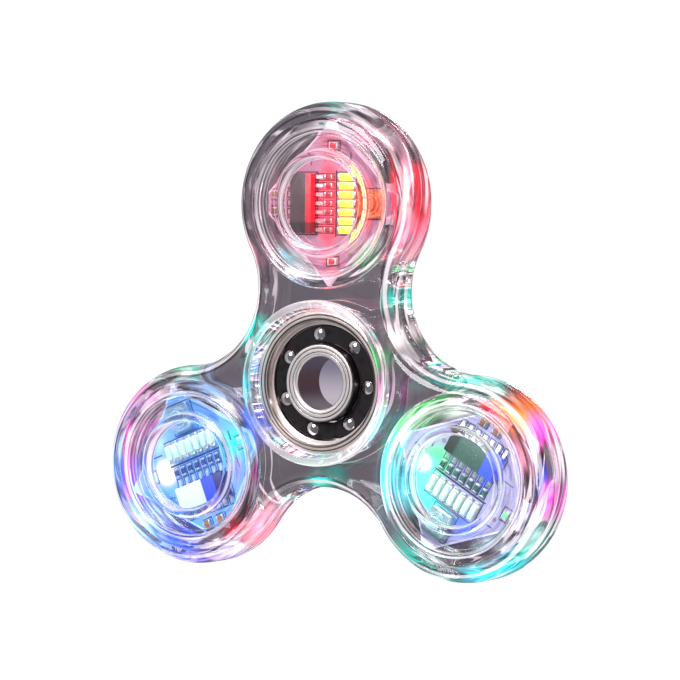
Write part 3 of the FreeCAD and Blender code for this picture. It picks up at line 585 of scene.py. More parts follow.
def cover_finish(mat, near, glow, colour, share, patch):
    """Painted gleams on the floor and wall of the cover, round its fence, on a ground darkened with
    painted shade.
    """
    ring = near.band(8.7 * MM, 12.9 * MM, 0.1 * MM) * mat.z.rise(-4.0 * MM, -3.8 * MM)
    patch = mat.mix(patch, patch_light(mat, LEAF_GLEAMS), ring)
    share = share.most(ring * (glow * 0.4 + 0.6))
    # Painted shade: the ring under the gleams is darkened so that they stand out.
    return mat.mix(colour, (0.30, 0.24, 0.28), ring * 0.8), share, patch


print("finishes ready")

# %% [markdown]
# ## Clear plastic
# The real parts are moulded in a clear, hard plastic. A Glass shader bends light as well, but
# can't also glow, so a Principled shader with full transmission is used. The coloured light
# and the white threads are its emission. Strong light also tints the base colour, so that a
# patch still looks deep over a white table. Shadow rays pass, so the boards inside stay lit.

# %% Clear plastic
def clear_plastic(name, gain, kind):
    """Clear moulded plastic with painted light from inside. Painted threads of white and coloured
    light run along the moulding, with dark threads of painted reflection between them."""
    mat = Mat(name)
    hub, near = mat.far((0.0, 0.0)), mat.near_lobe()
    flow = body_distance(mat, near, hub) if kind == "body" else near
    dark, glow, shine = (threads(mat, flow, *limits)
                         for limits in (DARK_REFLECTION_LINES, COLOURED_LIGHT_LINES, WHITE_HIGHLIGHT_LINES))
    # Painted glints: scattered cells add a little more of the coloured light.
    glint_cells = mat.cells(650.0).rise(0.25, 0.5)
    # Painted reflections: the base colour is dark along the dark threads, so dark lines show in the
    # plastic.
    colour = mat.mix((0.20, 0.14, 0.18) if kind == "body" else (0.52, 0.45, 0.50),
                     (1.0, 0.98, 0.99), dark)
    share = glow * 1.1 + glint_cells * 0.07 + 0.05
    # Painted highlights: the white threads add a pale emission.
    shine = shine * mat.noise(70.0).rise(0.35, 0.60) * (0.85 if kind == "body" else 0.14)
    patch, tinting = patch_light(mat, PATCHES, gain), 1.0
    if kind == "body":
        colour, share, shine, tinting = body_finish(mat, near, hub, colour, share, shine)
    elif kind == "cap":
        colour, share, shine, tinting = cap_finish(mat, near, colour, share, shine)
    else:
        colour, share, patch = cover_finish(mat, near, glow, colour, share, patch)
    light = mat.mix(mat.mix(BLACK, patch, share), (0.92, 0.82, 0.87), shine)
    colour = mat.tinted(colour, mat.mix(BLACK, patch, tinting), 0.75)
    ripple = mat.bump(mat.noise(140.0, 2.0), 0.10, 0.3 * MM)
    return mat.finish(see_through=True, Base_Color=colour, Roughness=0.02, IOR=1.49,
                      Transmission_Weight=1.0, Emission_Color=light, Emission_Strength=1.0,
                      Normal=ripple)


body_plastic = clear_plastic("clear_body", 1.5, "body")
cap_plastic = clear_plastic("clear_cap", 0.4, "cap")
cover_plastic = clear_plastic("clear_cover", 1.1, "cover")
print("clear plastics:", [mat.name for mat in (body_plastic, cap_plastic, cover_plastic)])

# %% [markdown]
# ## The body's outline
# One clear moulding carries everything. Seen from above, it is three lobe arcs joined by three
# hollow arcs. A bevel on a drawn curve could round its edge, but the width of a bevel is hard
# to keep exact. Here each row of the wall is the outline moved inwards by d, which only makes
# the lobe arcs smaller by d and the hollow arcs larger by d.

# %% Body outline
def trefoil(inset):
    """Outline points, moved inwards by d: lobe arcs of radius LOBE_R - d round the lobe axes,
    and hollow arcs of radius WAIST_R + d round points at WAIST_REACH from the hub's axis."""
    angles = [math.radians(angle) for angle, _ in LOBES.values()]
    lobes = [ARM * np.array([math.cos(a), math.sin(a)]) for a in angles]
    waists = [WAIST_REACH * np.array([math.cos(a + HALF_STEP), math.sin(a + HALF_STEP)])
              for a in angles]
    points = []
    for i, lobe in enumerate(lobes):
        before, after, following = waists[i - 1] - lobe, waists[i] - lobe, lobes[(i + 1) % 3]
        start = math.atan2(before[1], before[0])
        swing = (math.atan2(after[1], after[0]) - start) % (2 * math.pi)
        a = start + swing * np.linspace(0, 1, 180, endpoint=False)
        points.append(lobe + (LOBE_R - inset) * np.stack([np.cos(a), np.sin(a)], 1))
        here, there = lobe - waists[i], following - waists[i]
        start = math.atan2(here[1], here[0])
        swing = (math.atan2(there[1], there[0]) - start + math.pi) % (2 * math.pi) - math.pi
        a = start + swing * np.linspace(0, 1, 72, endpoint=False)
        points.append(waists[i] + (WAIST_R + inset) * np.stack([np.cos(a), np.sin(a)], 1))
    return np.concatenate(points)


print(len(trefoil(0.0)), "outline points")

# %% [markdown]
# ## Flat faces with holes
# The front and the back are flat, with round holes for the hub and the pockets. A boolean cut
# would do, but it often leaves slivers and open edges on such a face. A triangulation that
# keeps the outline and the rims of the holes uses the same points as the walls, so that the
# parts weld without a gap.

# %% Flat faces
def inside(points, ring):
    """Even-odd test of points against a closed ring."""
    x, y = points[:, 0][:, None], points[:, 1][:, None]
    ax, ay = ring.T
    bx, by = np.roll(ring, -1, axis=0).T
    crosses = (ay > y) != (by > y)
    at = ax + (y - ay) / np.where(by == ay, 1, by - ay) * (bx - ax)
    return (crosses & (x < at)).sum(axis=1) % 2 == 1


def flat_face(outline, holes, z):
    """Triangles that fill the outline less its holes, at height z."""
    rings = [outline] + holes
    points = np.concatenate(rings)
    edges, start = [], 0
    for ring in rings:
        edges += [(start + i, start + (i + 1) % len(ring)) for i in range(len(ring))]
        start += len(ring)
    found = delaunay_2d_cdt([Vector(p) for p in points / MM], edges, [], 0, 1e-6)
    corner = np.array([origins[0] if origins else -1 for origins in found[3]])
    faces = corner[np.array(found[2])]
    faces = faces[(faces >= 0).all(axis=1)]
    centres = points[faces].mean(axis=1)
    keep = inside(centres, outline)
    for hole in holes:
        keep &= ~inside(centres, hole)
    return np.column_stack([points, np.full(len(points), z)]), faces[keep].tolist()


print("flat faces ready")

# %% [markdown]
# ## The body moulding
# The wall is a stack of outlines, rounded more at the front than at the back. The ring round
# the bearing and the stepped pockets are turned profiles that share their rims with the flat
# faces. Clear plastic bends light rightly only in one closed skin, so all of it is one mesh.

# %% Body
SEAT_R, SEAT_END, STOP_R, STOP_END = 11.02 * MM, 3.5 * MM, 10.4 * MM, -4.3 * MM
MOUTH_R = 11.6 * MM
EDGE, FINE_EDGE = 0.35 * MM, 0.2 * MM
HUB_EDGE = 0.45 * MM


def body_moulding():
    """Side wall rows, flat deck and back, the turned hub ring and a turned pocket per lobe."""
    front = np.linspace(0, np.pi / 2, 14)
    back = np.linspace(-np.pi / 2, 0, 12)
    rows = [(BACK_ROUND * (1 - math.cos(a)), BACK + BACK_ROUND * (1 + math.sin(a))) for a in back]
    rows += [(0.0, z) for z in np.linspace(BACK + BACK_ROUND, DECK - FRONT_ROUND, 5)[1:-1]]
    rows += [(FRONT_ROUND * (1 - math.cos(a)), DECK - FRONT_ROUND * (1 - math.sin(a))) for a in front]
    outlines = [trefoil(inset) for inset, _ in rows]
    wall = np.concatenate([np.column_stack([ring, np.full(len(ring), z)])
                           for ring, (_, z) in zip(outlines, rows)])
    parts = [(wall, grid_faces(len(rows), len(outlines[0])))]
    opening = rounded([(LIP_R + 0.8 * MM, DECK), (LIP_R, DECK, EDGE), (LIP_R, LIP_UNDER, 0.15 * MM),
                       (POCKET_R, LIP_UNDER, FINE_EDGE), (POCKET_R, BACK)])[1:]
    hub = rounded([(HUB_R, DECK), (HUB_R, HUB_END, HUB_EDGE), (MOUTH_R, HUB_END, FINE_EDGE),
                   (SEAT_R, SEAT_END), (SEAT_R, -SEAT_END), (STOP_R, -SEAT_END),
                   (STOP_R, STOP_END), (MOUTH_R, -HUB_END, FINE_EDGE),
                   (HUB_R, -HUB_END, HUB_EDGE), (HUB_R, BACK)])
    parts.append(lathe(hub))
    centres = [(*lobe_centre(lobe), 0) for lobe in LOBES]
    parts += [moved(lathe(opening), centre) for centre in centres]
    deck_holes = [lathe([(HUB_R, 0)])[0][:, :2]]
    back_holes = [lathe([(HUB_R, 0)])[0][:, :2]]
    for centre in centres:
        deck_holes.append(moved(lathe([(opening[0][0], 0)]), centre)[0][:, :2])
        back_holes.append(moved(lathe([(POCKET_R, 0)]), centre)[0][:, :2])
    parts.append(flat_face(outlines[-1], deck_holes, DECK))
    parts.append(flat_face(outlines[0], back_holes, BACK))
    return parts


make_piece("body_shell", body_moulding(), [body_plastic], "rotor", ["spinner_body"])

# %% [markdown]
# ## Lens caps and back covers
# A clear cap closes the front of each pocket. A ridge stands round its window, and its rim is
# held under the body's lip, so that it can be pressed but not drop out. A cover presses into
# the back, with a fence round the cells. Both come round out of a mould, so half a section
# turned about the lobe's axis gives all of it, with every corner rounded as plastic needs.

# %% Caps and covers
cap_profile = rounded([
    (0, 2.4), (10.4, 2.4, 0.1), (10.4, 1.7, 0.1), (12.95, 1.7, 0.1), (12.95, 2.55, 0.15),
    (11.2, 2.55, 0.1), (11.2, 3.8, 0.3), (8.2, 3.8, 0.35), (8.05, 4.6, 0.5), (7.05, 4.6, 0.5),
    (6.9, 3.4, 0.3), (0, 3.4)]) * MM
cover_profile = rounded([
    (0, -4.55), (13.0, -4.55, 0.3), (13.0, -0.6, 0.2), (11.5, -0.6, 0.2), (11.5, -3.7, 0.3),
    (8.6, -3.7, 0.2), (8.6, -1.7, 0.2), (7.8, -1.7, 0.2), (7.8, -3.7, 0.2), (0, -3.7)]) * MM
for lobe in LOBES:
    centre = (*lobe_centre(lobe), 0)
    make_piece(f"cap_{lobe}", [moved(lathe(cap_profile), centre)], [cap_plastic],
               f"cap_{lobe}", [f"lens_cap_{lobe}"])
    make_piece(f"cover_{lobe}", [moved(lathe(cover_profile), centre)], [cover_plastic],
               "rotor", [f"back_cover_{lobe}"])

# %% [markdown]
# ## Bearing steel
# The rings are turned and ground, which leaves fine circles round the axis. An anisotropic
# finish could suggest them, but real rings in the bump catch the light one by one. Darker
# bands are painted shade in the turned grooves and on the rounded edges. The bore wall mirrors
# what stands beside it, so a painted reflection changes its tint from side to side.

# %% Bearing steel
def toned(colour, share):
    """A colour with its light scaled."""
    return tuple(c * share for c in colour)


def steel(name, colour, roughness, grooves):
    """Ground steel: fine turning rings, painted shade in the grooves and faint stains. The bore
    wall carries a painted reflection: lighter at its lower (-y) end, ruddy on its left (-x)
    and bluish at its upper (+y) end."""
    mat = Mat(name)
    radius = mat.far((0.0, 0.0))
    rings = (radius * 26000).sin() * 0.5 + mat.noise(900.0)
    stain = mat.noise(260.0, 4.0)
    base = mat.mix(colour, toned(colour, 0.72), stain.rise(0.45, 0.75))
    # Painted shade: near-black bands in the grooves and on the rounded edges.
    for low, high in grooves:
        groove_shade = radius.band(low * MM, high * MM, 0.04 * MM)
        base = mat.mix(base, (0.03, 0.02, 0.025), groove_shade * 0.9)
    # Painted reflection on the bore wall, changing its tint from side to side.
    bore = 1 - radius.rise(4.01 * MM, 4.06 * MM)
    base = mat.mix(base, (0.42, 0.27, 0.29), bore * (1 - mat.x.rise(-3.9 * MM, 1.0 * MM)))
    base = mat.mix(base, (0.95, 0.88, 0.90), bore * (1 - mat.y.rise(-3.9 * MM, -1.2 * MM)))
    base = mat.mix(base, (0.40, 0.42, 0.55), bore * mat.y.rise(0.5 * MM, 3.6 * MM))
    rough = stain.rise(0.3, 0.8) * 0.12 + roughness
    return mat.finish(Base_Color=base, Metallic=1.0, Roughness=rough,
                      Normal=mat.bump(rings, 0.12, 0.02 * MM))


INNER_GROOVE_SHADE = [(4.72, 4.80), (5.30, 5.42), (5.86, 6.10)]
OUTER_GROOVE_SHADE = [(9.70, 9.95), (10.35, 10.50)]
inner_steel = steel("inner_steel", (1.0, 0.92, 0.93), 0.30, INNER_GROOVE_SHADE)
outer_steel = steel("outer_steel", (0.92, 0.80, 0.78), 0.28, OUTER_GROOVE_SHADE)
print("ring steels:", inner_steel.name, outer_steel.name)

# %% [markdown]
# ## Bearing rings
# The balls run in a round track in each ring. The track is an exact arc, a hair wider than a
# ball. With no shields on this bearing, the tracks and the chamfers can be seen, so the loop
# goes once round the ring's real section and is turned about the axis. Sizes are in
# millimetres until the end.

# %% Bearing rings
BALL_ORBIT, TRACK_R = 7.5, 2.045


def track(side):
    """Ball track round the ball centres: radius BALL_ORBIT + side TRACK_R cos t and height
    TRACK_R sin t, for t up to 44.8 degrees each way."""
    t = np.radians(np.linspace(-44.8, 44.8, 15)) * -side
    return [(BALL_ORBIT + side * TRACK_R * math.cos(a), TRACK_R * math.sin(a)) for a in t]


inner_profile = rounded([
    (6.05, 2.0), (6.05, 3.5, 0.3), (5.45, 3.5, 0.03), (5.36, 3.38, 0.03), (5.27, 3.5, 0.03),
    (4.85, 3.5, 0.03), (4.76, 3.40, 0.03), (4.67, 3.5, 0.03), (4.0, 3.5, 0.5), (4.0, -3.5, 0.5),
    (6.05, -3.5, 0.3), (6.05, -2.0)])
outer_profile = rounded([
    (8.95, -2.0), (8.95, -2.2, 0.1), (9.55, -2.2, 0.1), (9.55, -3.5, 0.2), (11.0, -3.5, 0.3),
    (11.0, 3.5, 0.3), (10.52, 3.5, 0.03), (10.43, 3.38, 0.03), (10.34, 3.5, 0.03), (9.55, 3.5, 0.3),
    (9.55, 2.2, 0.1), (8.95, 2.2, 0.1), (8.95, 2.0)])
inner_loop = np.array(inner_profile.tolist() + track(-1)) * MM
outer_loop = np.array(outer_profile.tolist() + track(1)) * MM
make_piece("ring_inner", [lathe(inner_loop, closed=True)], [inner_steel], "inner_ring",
           ["inner_race"])
make_piece("ring_outer", [lathe(outer_loop, closed=True)], [outer_steel], "rotor",
           ["outer_race"])

# %% [markdown]
# ## Balls and cage
# Each ball is a half circle turned about its upright axis, fine enough to look polished. The
# black cage is a nylon crown with a pocket for each ball. Its pockets are exact in the design
# model and its faces are plain, so it keeps that mesh and only gets a finish.

# %% Balls and cage
BALL_R = 1.985 * MM


def ball_steel():
    """Mirror-polished steel with faint lapping marks."""
    mat = Mat("ball_steel")
    marks = mat.noise(1400.0, 4.0)
    base = mat.mix((0.60, 0.57, 0.60), (0.42, 0.40, 0.44), marks.rise(0.5, 0.8))
    return mat.finish(Base_Color=base, Metallic=1.0, Roughness=marks * 0.04 + 0.02,
                      Normal=mat.bump(marks, 0.03, 0.01 * MM))


polished = ball_steel()
arc = np.radians(np.linspace(-90, 90, 33))
ball_profile = np.stack([np.cos(arc), np.sin(arc)], 1) * BALL_R
ball_profile[[0, -1], 0] = 0
for number in range(1, 8):
    low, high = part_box(f"ball_{number}")
    ball = moved(lathe(ball_profile, turns=64), tuple((low + high) / 2))
    make_piece(f"steel_ball_{number}", [ball], [polished], f"rolling_ball_{number}",
               [f"ball_{number}"])


def cage_plastic():
    """Black nylon with a fine moulded grain and faint worn patches scattered at random."""
    mat = Mat("cage_plastic")
    grain = mat.noise(2200.0, 3.0)
    worn = mat.cells(700.0).rise(0.0, 0.6)
    base = mat.mix((0.006, 0.005, 0.006), (0.016, 0.014, 0.016), worn)
    return mat.finish(Base_Color=base, Roughness=grain * 0.25 + 0.35, Specular_IOR_Level=0.15,
                      Normal=mat.bump(grain, 0.25, 0.03 * MM))


def paint_node(node, material):
    """Give a CAD node its material."""
    mesh_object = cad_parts[node]
    mesh_object.data.materials.clear()
    mesh_object.data.materials.append(material)


paint_node("ball_cage", cage_plastic())
print("cage painted")

# %% [markdown]
# ## Colours of the modules
# The three modules are alike but lit in different colours, and the light tints all that is
# near it. One table holds the three looks side by side: the board, its printed ink, its
# patches of light and its lamps. A place on a board is u, towards the lamps, and v, along the
# lamp row, in millimetres from the lobe's axis.

# %% Module colours
PITCH = 1.39
CHIP_U, RESISTOR_U, LAMP_U, SWITCH_U = -4.55, -0.2, 3.2, 7.8
SIDE_LAMP, CAPACITOR = (0.6, 8.85), (-9.5, 1.3)
# Painted light: each board's base, ambient glow and glow patches are its module's light on it, and tip
# is the colour of a painted highlight on its tips.
BOARD_LOOK = {
    "top": dict(
        base=(0.42, 0.16, 0.26), ink=(0.05, 0.002, 0.012), ambient=0.20,
        glow=[(180, 0.3, 3.3, 9.0, RED, 1.7), (0, 3.4, 2.6, 8.0, ORANGE, 0.6),
              (0, 6.4, 2.2, 6.0, RED, 1.0), (90, 9.0, 3.0, 3.0, RED, 0.35),
              (270, 9.0, 3.0, 3.0, RED, 0.35)],
        lamp=((1.0, 0.80, 0.04), 2.2), corner=((1.0, 0.02, 0.04), 1.6), tip=(0.95, 0.72, 0.82)),
    "left": dict(
        base=(0.12, 0.36, 0.85), ink=(0.005, 0.015, 0.16), ambient=0.34,
        glow=[(196, 6.2, 3.4, 3.2, WHITE, 1.3), (290, 5.0, 3.4, 4.0, BLUE, 1.1),
              (235, 9.0, 3.0, 5.0, BLUE, 0.9), (160, 8.0, 3.0, 4.0, SKY, 0.6),
              (28, 8.0, 2.6, 4.0, TEAL, 1.0), (70, 6.0, 3.0, 4.0, BLUE, 0.5)],
        lamp=((0.45, 0.85, 1.0), 0.35), corner=((0.1, 0.6, 1.0), 0.8), tip=(0.62, 0.80, 1.0)),
    "right": dict(
        base=(0.34, 0.36, 0.60), ink=(0.01, 0.02, 0.08), ambient=0.26,
        glow=[(162, 7.6, 2.2, 2.0, WHITE, 1.2), (150, 5.4, 4.2, 4.2, GREEN, 1.1),
              (185, 7.0, 4.4, 5.5, CYAN, 0.9), (225, 6.5, 4.0, 5.0, TEAL, 0.8),
              (275, 7.0, 2.6, 4.0, BLUE, 0.8), (355, 3.6, 1.8, 2.4, BLUE, 0.6)],
        lamp=((0.6, 0.95, 0.95), 0.25), corner=((0.2, 1.0, 0.4), 0.8), tip=(0.78, 0.76, 0.95)),
}
print("looks for", list(BOARD_LOOK))

# %% [markdown]
# ## The boards
# A board is woven glass fibre under lacquer, with an outline printed round every part. An
# image could hold the print, but lines drawn by formula stay sharp at any distance. Each
# outline is a formula of u and v, and folding v by the pitch repeats one frame for all seven
# rows. The board keeps the design model's mesh, which is flat and exact.

# %% Board material
def module_axes(mat, lobe):
    """u and v of a point: the turn and move of into_lobe, undone."""
    turn = math.radians(LOBES[lobe][1])
    cx, cy = lobe_centre(lobe)
    dx, dy = mat.x - float(cx), mat.y - float(cy)
    return (dx * math.cos(turn) + dy * math.sin(turn), dy * math.cos(turn) - dx * math.sin(turn))


def frame_line(u, v, cu, cv, hu, hv):
    """A drawn rectangle outline: 1 where the larger of |u - cu| - hu and |v - cv| - hv is near 0."""
    edge = (abs(u - cu * MM) - hu * MM).most(abs(v - cv * MM) - hv * MM)
    return 1 - abs(edge).rise(0.05 * MM, 0.12 * MM)


def board_material(lobe):
    """Coated board: glass-fibre weave, printed outlines round every part, fine tracks to the
    corners, and round vias. Its glow and tint are painted light from the lamps, and its tips
    and edges carry a painted highlight."""
    look = BOARD_LOOK[lobe]
    mat = Mat(f"board_{lobe}")
    u, v = module_axes(mat, lobe)
    weave = (u * 9000).sin() * (v * 9000).sin()
    pitch = PITCH * MM
    fold = ((v / pitch + 0.5).fract() - 0.5) * pitch
    rows = abs(v).rise(4.9 * MM, 5.0 * MM)
    ink = frame_line(u, v, CHIP_U, 0, 2.2, 4.95).most(frame_line(u, v, LAMP_U, 0, 2.0, 4.95))
    ink = ink.most(frame_line(u, v, SWITCH_U, 0, 2.35, 2.35))
    ink = ink.most(frame_line(u, v, 1.05, 0, 0.02, 5.2))
    for centre, half in ((RESISTOR_U, 0.95), (-1.95, 0.80), (-7.15, 0.80)):
        ink = ink.most(frame_line(u, fold, centre, 0, half, 0.52) * (1 - rows))
    for side in (-1, 1):
        ink = ink.most(frame_line(u, v, SIDE_LAMP[0], SIDE_LAMP[1] * side, 1.1, 0.75))
        ink = ink.most(frame_line(u, v, CAPACITOR[0], CAPACITOR[1] * side, 0.9, 0.85))
        ink = ink.most(frame_line(u, v, 3.6 * side, 6.9, 0.02, 0.8))
        ink = ink.most(frame_line(u, v, 2.2 * side, -7.3, 0.7, 0.02))
    vias = 1 - mat.cells(420.0).rise(0.14, 0.20)
    base = mat.mix(look["base"], toned(look["base"], 0.8), weave * 0.5 + 0.5)
    base = mat.mix(base, (0.20, 0.12, 0.16), vias * rows)
    # Painted light: patches of lamp light tint the board and make it glow, over a faint even glow.
    glow = add_patches(mat, lobe, look["glow"])
    base = mat.mix(mat.tinted(base, glow, 0.9), look["ink"], ink)
    light = mat.mix(toned(look["base"], look["ambient"]), glow, 1.0, "ADD")
    light = mat.mix(light, BLACK, ink * 0.92)
    # Painted highlight: the board's tips and the edges near them turn pale.
    tip = abs(u).most(abs(v)).rise(11.0 * MM, 11.1 * MM)
    tip = tip.most((abs(u) + abs(v)).rise(12.30 * MM, 12.36 * MM) * 0.8)
    light = mat.mix(light, look["tip"], tip * 0.8)
    return mat.finish(Base_Color=base, Roughness=weave * 0.05 + 0.35, Emission_Color=light,
                      Emission_Strength=1.0, Normal=mat.bump(ink + weave * 0.15, 0.5, 0.05 * MM))


for lobe in LOBES:
    paint_node(f"circuit_board_{lobe}", board_material(lobe))
print("three boards painted")

# %% [markdown]
# ## Chips and small components
# A chip is black resin with a grain like fine sand, and takes its neighbours' colour on one
# side. The rest are too small to show much, so one recipe serves them all: two shades mixed
# by noise, a matching bump, and a glow for what is lit. A plain colour would look like a toy.

# %% Chip and component materials
def chip_material(lobe, tone, other, low, high, glow, axis):
    """Moulded chip: grainy resin with a faint painted glow, painted light from its neighbours on one
    side, painted shade at one end, and a pin-one dimple.
    """
    mat = Mat(f"chip_{lobe}")
    u, v = module_axes(mat, lobe)
    along = u if axis == "u" else v
    lit = along.rise(low * MM, high * MM)
    grain = mat.noise(2600.0, 4.0)
    base = mat.mix(tone, toned(tone, 1.5), grain.rise(0.35, 0.7))
    base = mat.mix(base, other, lit)
    # Painted shade: the chip's end past v = -2.6 mm is darkened and its glow dimmed.
    dark = 1 - v.rise(-3.2 * MM, -2.6 * MM)
    base = mat.mix(base, (0.01, 0.005, 0.01), dark * 0.8)
    light = mat.mix(toned(tone, 0.25), glow, lit)
    light = mat.mix(light, BLACK, dark * 0.7)
    du, dv = u + 3.4 * MM, v - 3.9 * MM
    dimple = (du * du + dv * dv) ** 0.5
    relief = mat.bump(dimple.rise(0.3 * MM, 0.4 * MM) + grain * 0.1, 0.6, 0.08 * MM)
    return mat.finish(Base_Color=base, Roughness=grain * 0.2 + 0.32, Emission_Color=light,
                      Emission_Strength=1.0, Normal=relief)


def small_part(name, colour, other, roughness, metallic, scale, glow=None, power=0.0):
    """A small component: two shades mixed by noise, with a rough bump and perhaps a glow."""
    mat = Mat(name)
    spots = mat.noise(scale, 4.0)
    mottle = spots.rise(0.35, 0.7)
    inputs = dict(Base_Color=mat.mix(colour, other, mottle), Metallic=metallic,
                  Roughness=spots * 0.2 + roughness, Normal=mat.bump(spots, 0.3, 0.04 * MM))
    if glow:
        inputs["Emission_Color"] = mat.mix(glow, toned(glow, 0.55), mottle)
        inputs["Emission_Strength"] = power
    return mat.finish(**inputs)


def lamp_lens(name, colour, power):
    """Milky resin over a lamp that is on, glowing in its own colour."""
    return small_part(name, colour, toned(colour, 0.8), 0.15, 0.0, 900.0, colour, power)


housing = small_part("lamp_housing", (0.82, 0.80, 0.76), (0.66, 0.64, 0.60), 0.35, 0.0, 1600.0)
ceramic = small_part("capacitor", (0.30, 0.15, 0.07), (0.20, 0.09, 0.04), 0.35, 0.0, 2400.0)
brass = small_part("contact_brass", (0.78, 0.57, 0.28), (0.60, 0.42, 0.20), 0.25, 1.0, 700.0)
cell_steel = small_part("cell_steel", (0.72, 0.72, 0.74), (0.55, 0.55, 0.58), 0.18, 1.0, 600.0)
print("shared finishes:", [mat.name for mat in (housing, ceramic, brass, cell_steel)])

# %% [markdown]
# ## Small shapes
# Leads are bent strips of metal, the switch is a square can with a round mouth, and nearly all
# the rest are boxes with soft edges. They are made in millimetres round the module's own axis,
# where the numbers are easy to read, then scaled to metres and turned into their lobe.

# %% Small shapes
def strip(profile, low, high):
    """A closed (u, z) profile pulled along v from low to high, with flat ends."""
    profile = np.array(profile, float)
    count = len(profile)
    points = np.concatenate([np.column_stack([profile[:, 0], np.full(count, v), profile[:, 1]])
                             for v in (low, high)])
    faces = [[i, (i + 1) % count, count + (i + 1) % count, count + i] for i in range(count)]
    return points, faces + [list(range(count))[::-1], list(range(count, 2 * count))]


def square_turned(profile, turns=96):
    """A turned shape whose rows may be square. For a row (r, z, q), the distance from the axis
    is r (1 - q + q s), where s = 1 / (|cos a|^8 + |sin a|^8)^(1/8)."""
    profile = np.array(profile, float)
    a = np.linspace(0, 2 * np.pi, turns, endpoint=False)
    s = 1 / (np.abs(np.cos(a)) ** 8 + np.abs(np.sin(a)) ** 8) ** 0.125
    r, z, q = (profile[:, i][:, None] for i in range(3))
    reach = r * (1 - q + q * s)
    points = np.stack(np.broadcast_arrays(reach * np.cos(a), reach * np.sin(a), z), -1)
    return points.reshape(-1, 3), grid_faces(len(profile), turns)


def scaled(part, paint=0):
    """Millimetres to metres, with a material number."""
    return part[0] * MM, part[1], paint


def placed(parts, lobe):
    """Parts turned and moved into their lobe, with their material numbers kept."""
    return [(into_lobe(part[0], lobe), *part[1:]) for part in parts]


print("small shapes ready")

# %% [markdown]
# ## Rows of components
# The chip has seven leads on each side. Beside it stand seven resistors and seven lamps, one
# for each lead, with metal ends where they are soldered. An array modifier could repeat them,
# but a loop along the row keeps the pitch in one place, and the copies join into one piece.

# %% Rows of components
ROW = [PITCH * (i - 3) for i in range(7)]
HALF_LEAD = 0.25
leads = []
for side in (-1, 1):
    foot, tip = CHIP_U + side * 1.95, CHIP_U + side * 3.25
    middle = (foot + tip) / 2
    shape = [(foot, 0.7), (foot, 0.48), (middle - side * 0.2, 0.40), (tip, 0.40), (tip, 0.52),
             (middle, 0.56), (foot + side * 0.3, 0.7)]
    leads += [scaled(strip(shape, v - HALF_LEAD, v + HALF_LEAD)) for v in ROW]
chip = [scaled(soft_box((CHIP_U, 0, 1.25), (3.9, 9.4, 1.4), 0.22))]
resistors, lamps = [], []
for v in ROW:
    resistors.append(scaled(soft_box((RESISTOR_U, v, 0.62), (0.94, 0.74, 0.42), 0.06)))
    for side in (-1, 1):
        cap_end = soft_box((RESISTOR_U + side * 0.585, v, 0.625), (0.33, 0.8, 0.45), 0.07)
        resistors.append(scaled(cap_end, 1))
        lamps.append(scaled(soft_box((LAMP_U + side * 1.5, v, 0.65), (0.40, 1.0, 0.5), 0.08), 1))
    lamps.append(scaled(soft_box((LAMP_U, v, 0.625), (2.7, 1.2, 0.45), 0.08), 2))
    lamps.append(scaled(soft_box((LAMP_U, v, 1.115), (2.3, 1.0, 0.57), 0.26)))
print(len(leads), "leads,", len(resistors), "resistor parts,", len(lamps), "lamp parts")

# %% [markdown]
# ## Side lamps, switch and cells
# Two small lamps stand near the board's tips and two capacitors behind the chip. The push
# switch is a pressed metal can, square outside and round where its plunger comes through.
# Three button cells lie in the cover, hidden but real, so that the part can be taken apart.

# %% Side lamps, switch and cells
corner, capacitors = [], []
for side in (-1, 1):
    u, v = SIDE_LAMP[0], side * SIDE_LAMP[1]
    corner.append(scaled(soft_box((u, v, 0.56), (1.5, 1.0, 0.32), 0.06), 1))
    corner.append(scaled(soft_box((u, v, 0.84), (1.0, 0.84, 0.32), 0.14)))
    u, v = CAPACITOR[0], side * CAPACITOR[1]
    capacitors.append(scaled(soft_box((u, v, 0.75), (1.3, 0.78, 0.70), 0.08)))
    for end in (-1, 1):
        capacitors.append(scaled(soft_box((u, v + end * 0.5, 0.745), (1.3, 0.3, 0.69), 0.09), 1))
switch_rows = [(0, 0.4, 1), (2.06, 0.4, 1), (2.1, 0.46, 1), (2.1, 1.40, 1), (2.02, 1.44, 1),
               (2.02, 1.62, 1), (1.92, 1.70, 1), (1.75, 1.70, 0), (1.68, 1.82, 0), (1.60, 1.90, 0),
               (1.22, 1.90, 0), (1.15, 1.84, 0), (1.15, 0.85, 0), (0, 0.85, 0)]
plunger_profile = rounded([(0, 1.2), (1.1, 1.2, 0.1), (1.1, 2.4, 0.15), (0, 2.4)])
cell_profile = rounded([(0, -3.7), (3.4, -3.7, 0.3), (3.4, -1.5, 0.25), (3.05, -1.5, 0.05),
                        (3.05, -1.1, 0.12), (0, -1.1)])
CELL_REACH = 4.2
cells = []
for i in range(3):
    a = math.radians(120 * i)
    centre = (CELL_REACH * math.cos(a), CELL_REACH * math.sin(a), 0)
    cells.append(scaled(moved(lathe(cell_profile, turns=96), centre)))
switch = [scaled(moved(square_turned(switch_rows), (SWITCH_U, 0, 0)))]
plunger = [scaled(moved(lathe(plunger_profile, turns=64), (SWITCH_U, 0, 0)))]
print(len(corner), "side lamp parts,", len(capacitors), "capacitor parts,", len(cells), "cells")

# %% [markdown]
# ## The modules in their lobes
# The same shapes go into all three lobes. Only the finishes change with the light: in the red
# module the tin turns pink and the resin dark red. Each kind of component becomes one piece,
# as it is one part of the design, and moves with the body, except the switch's plunger.

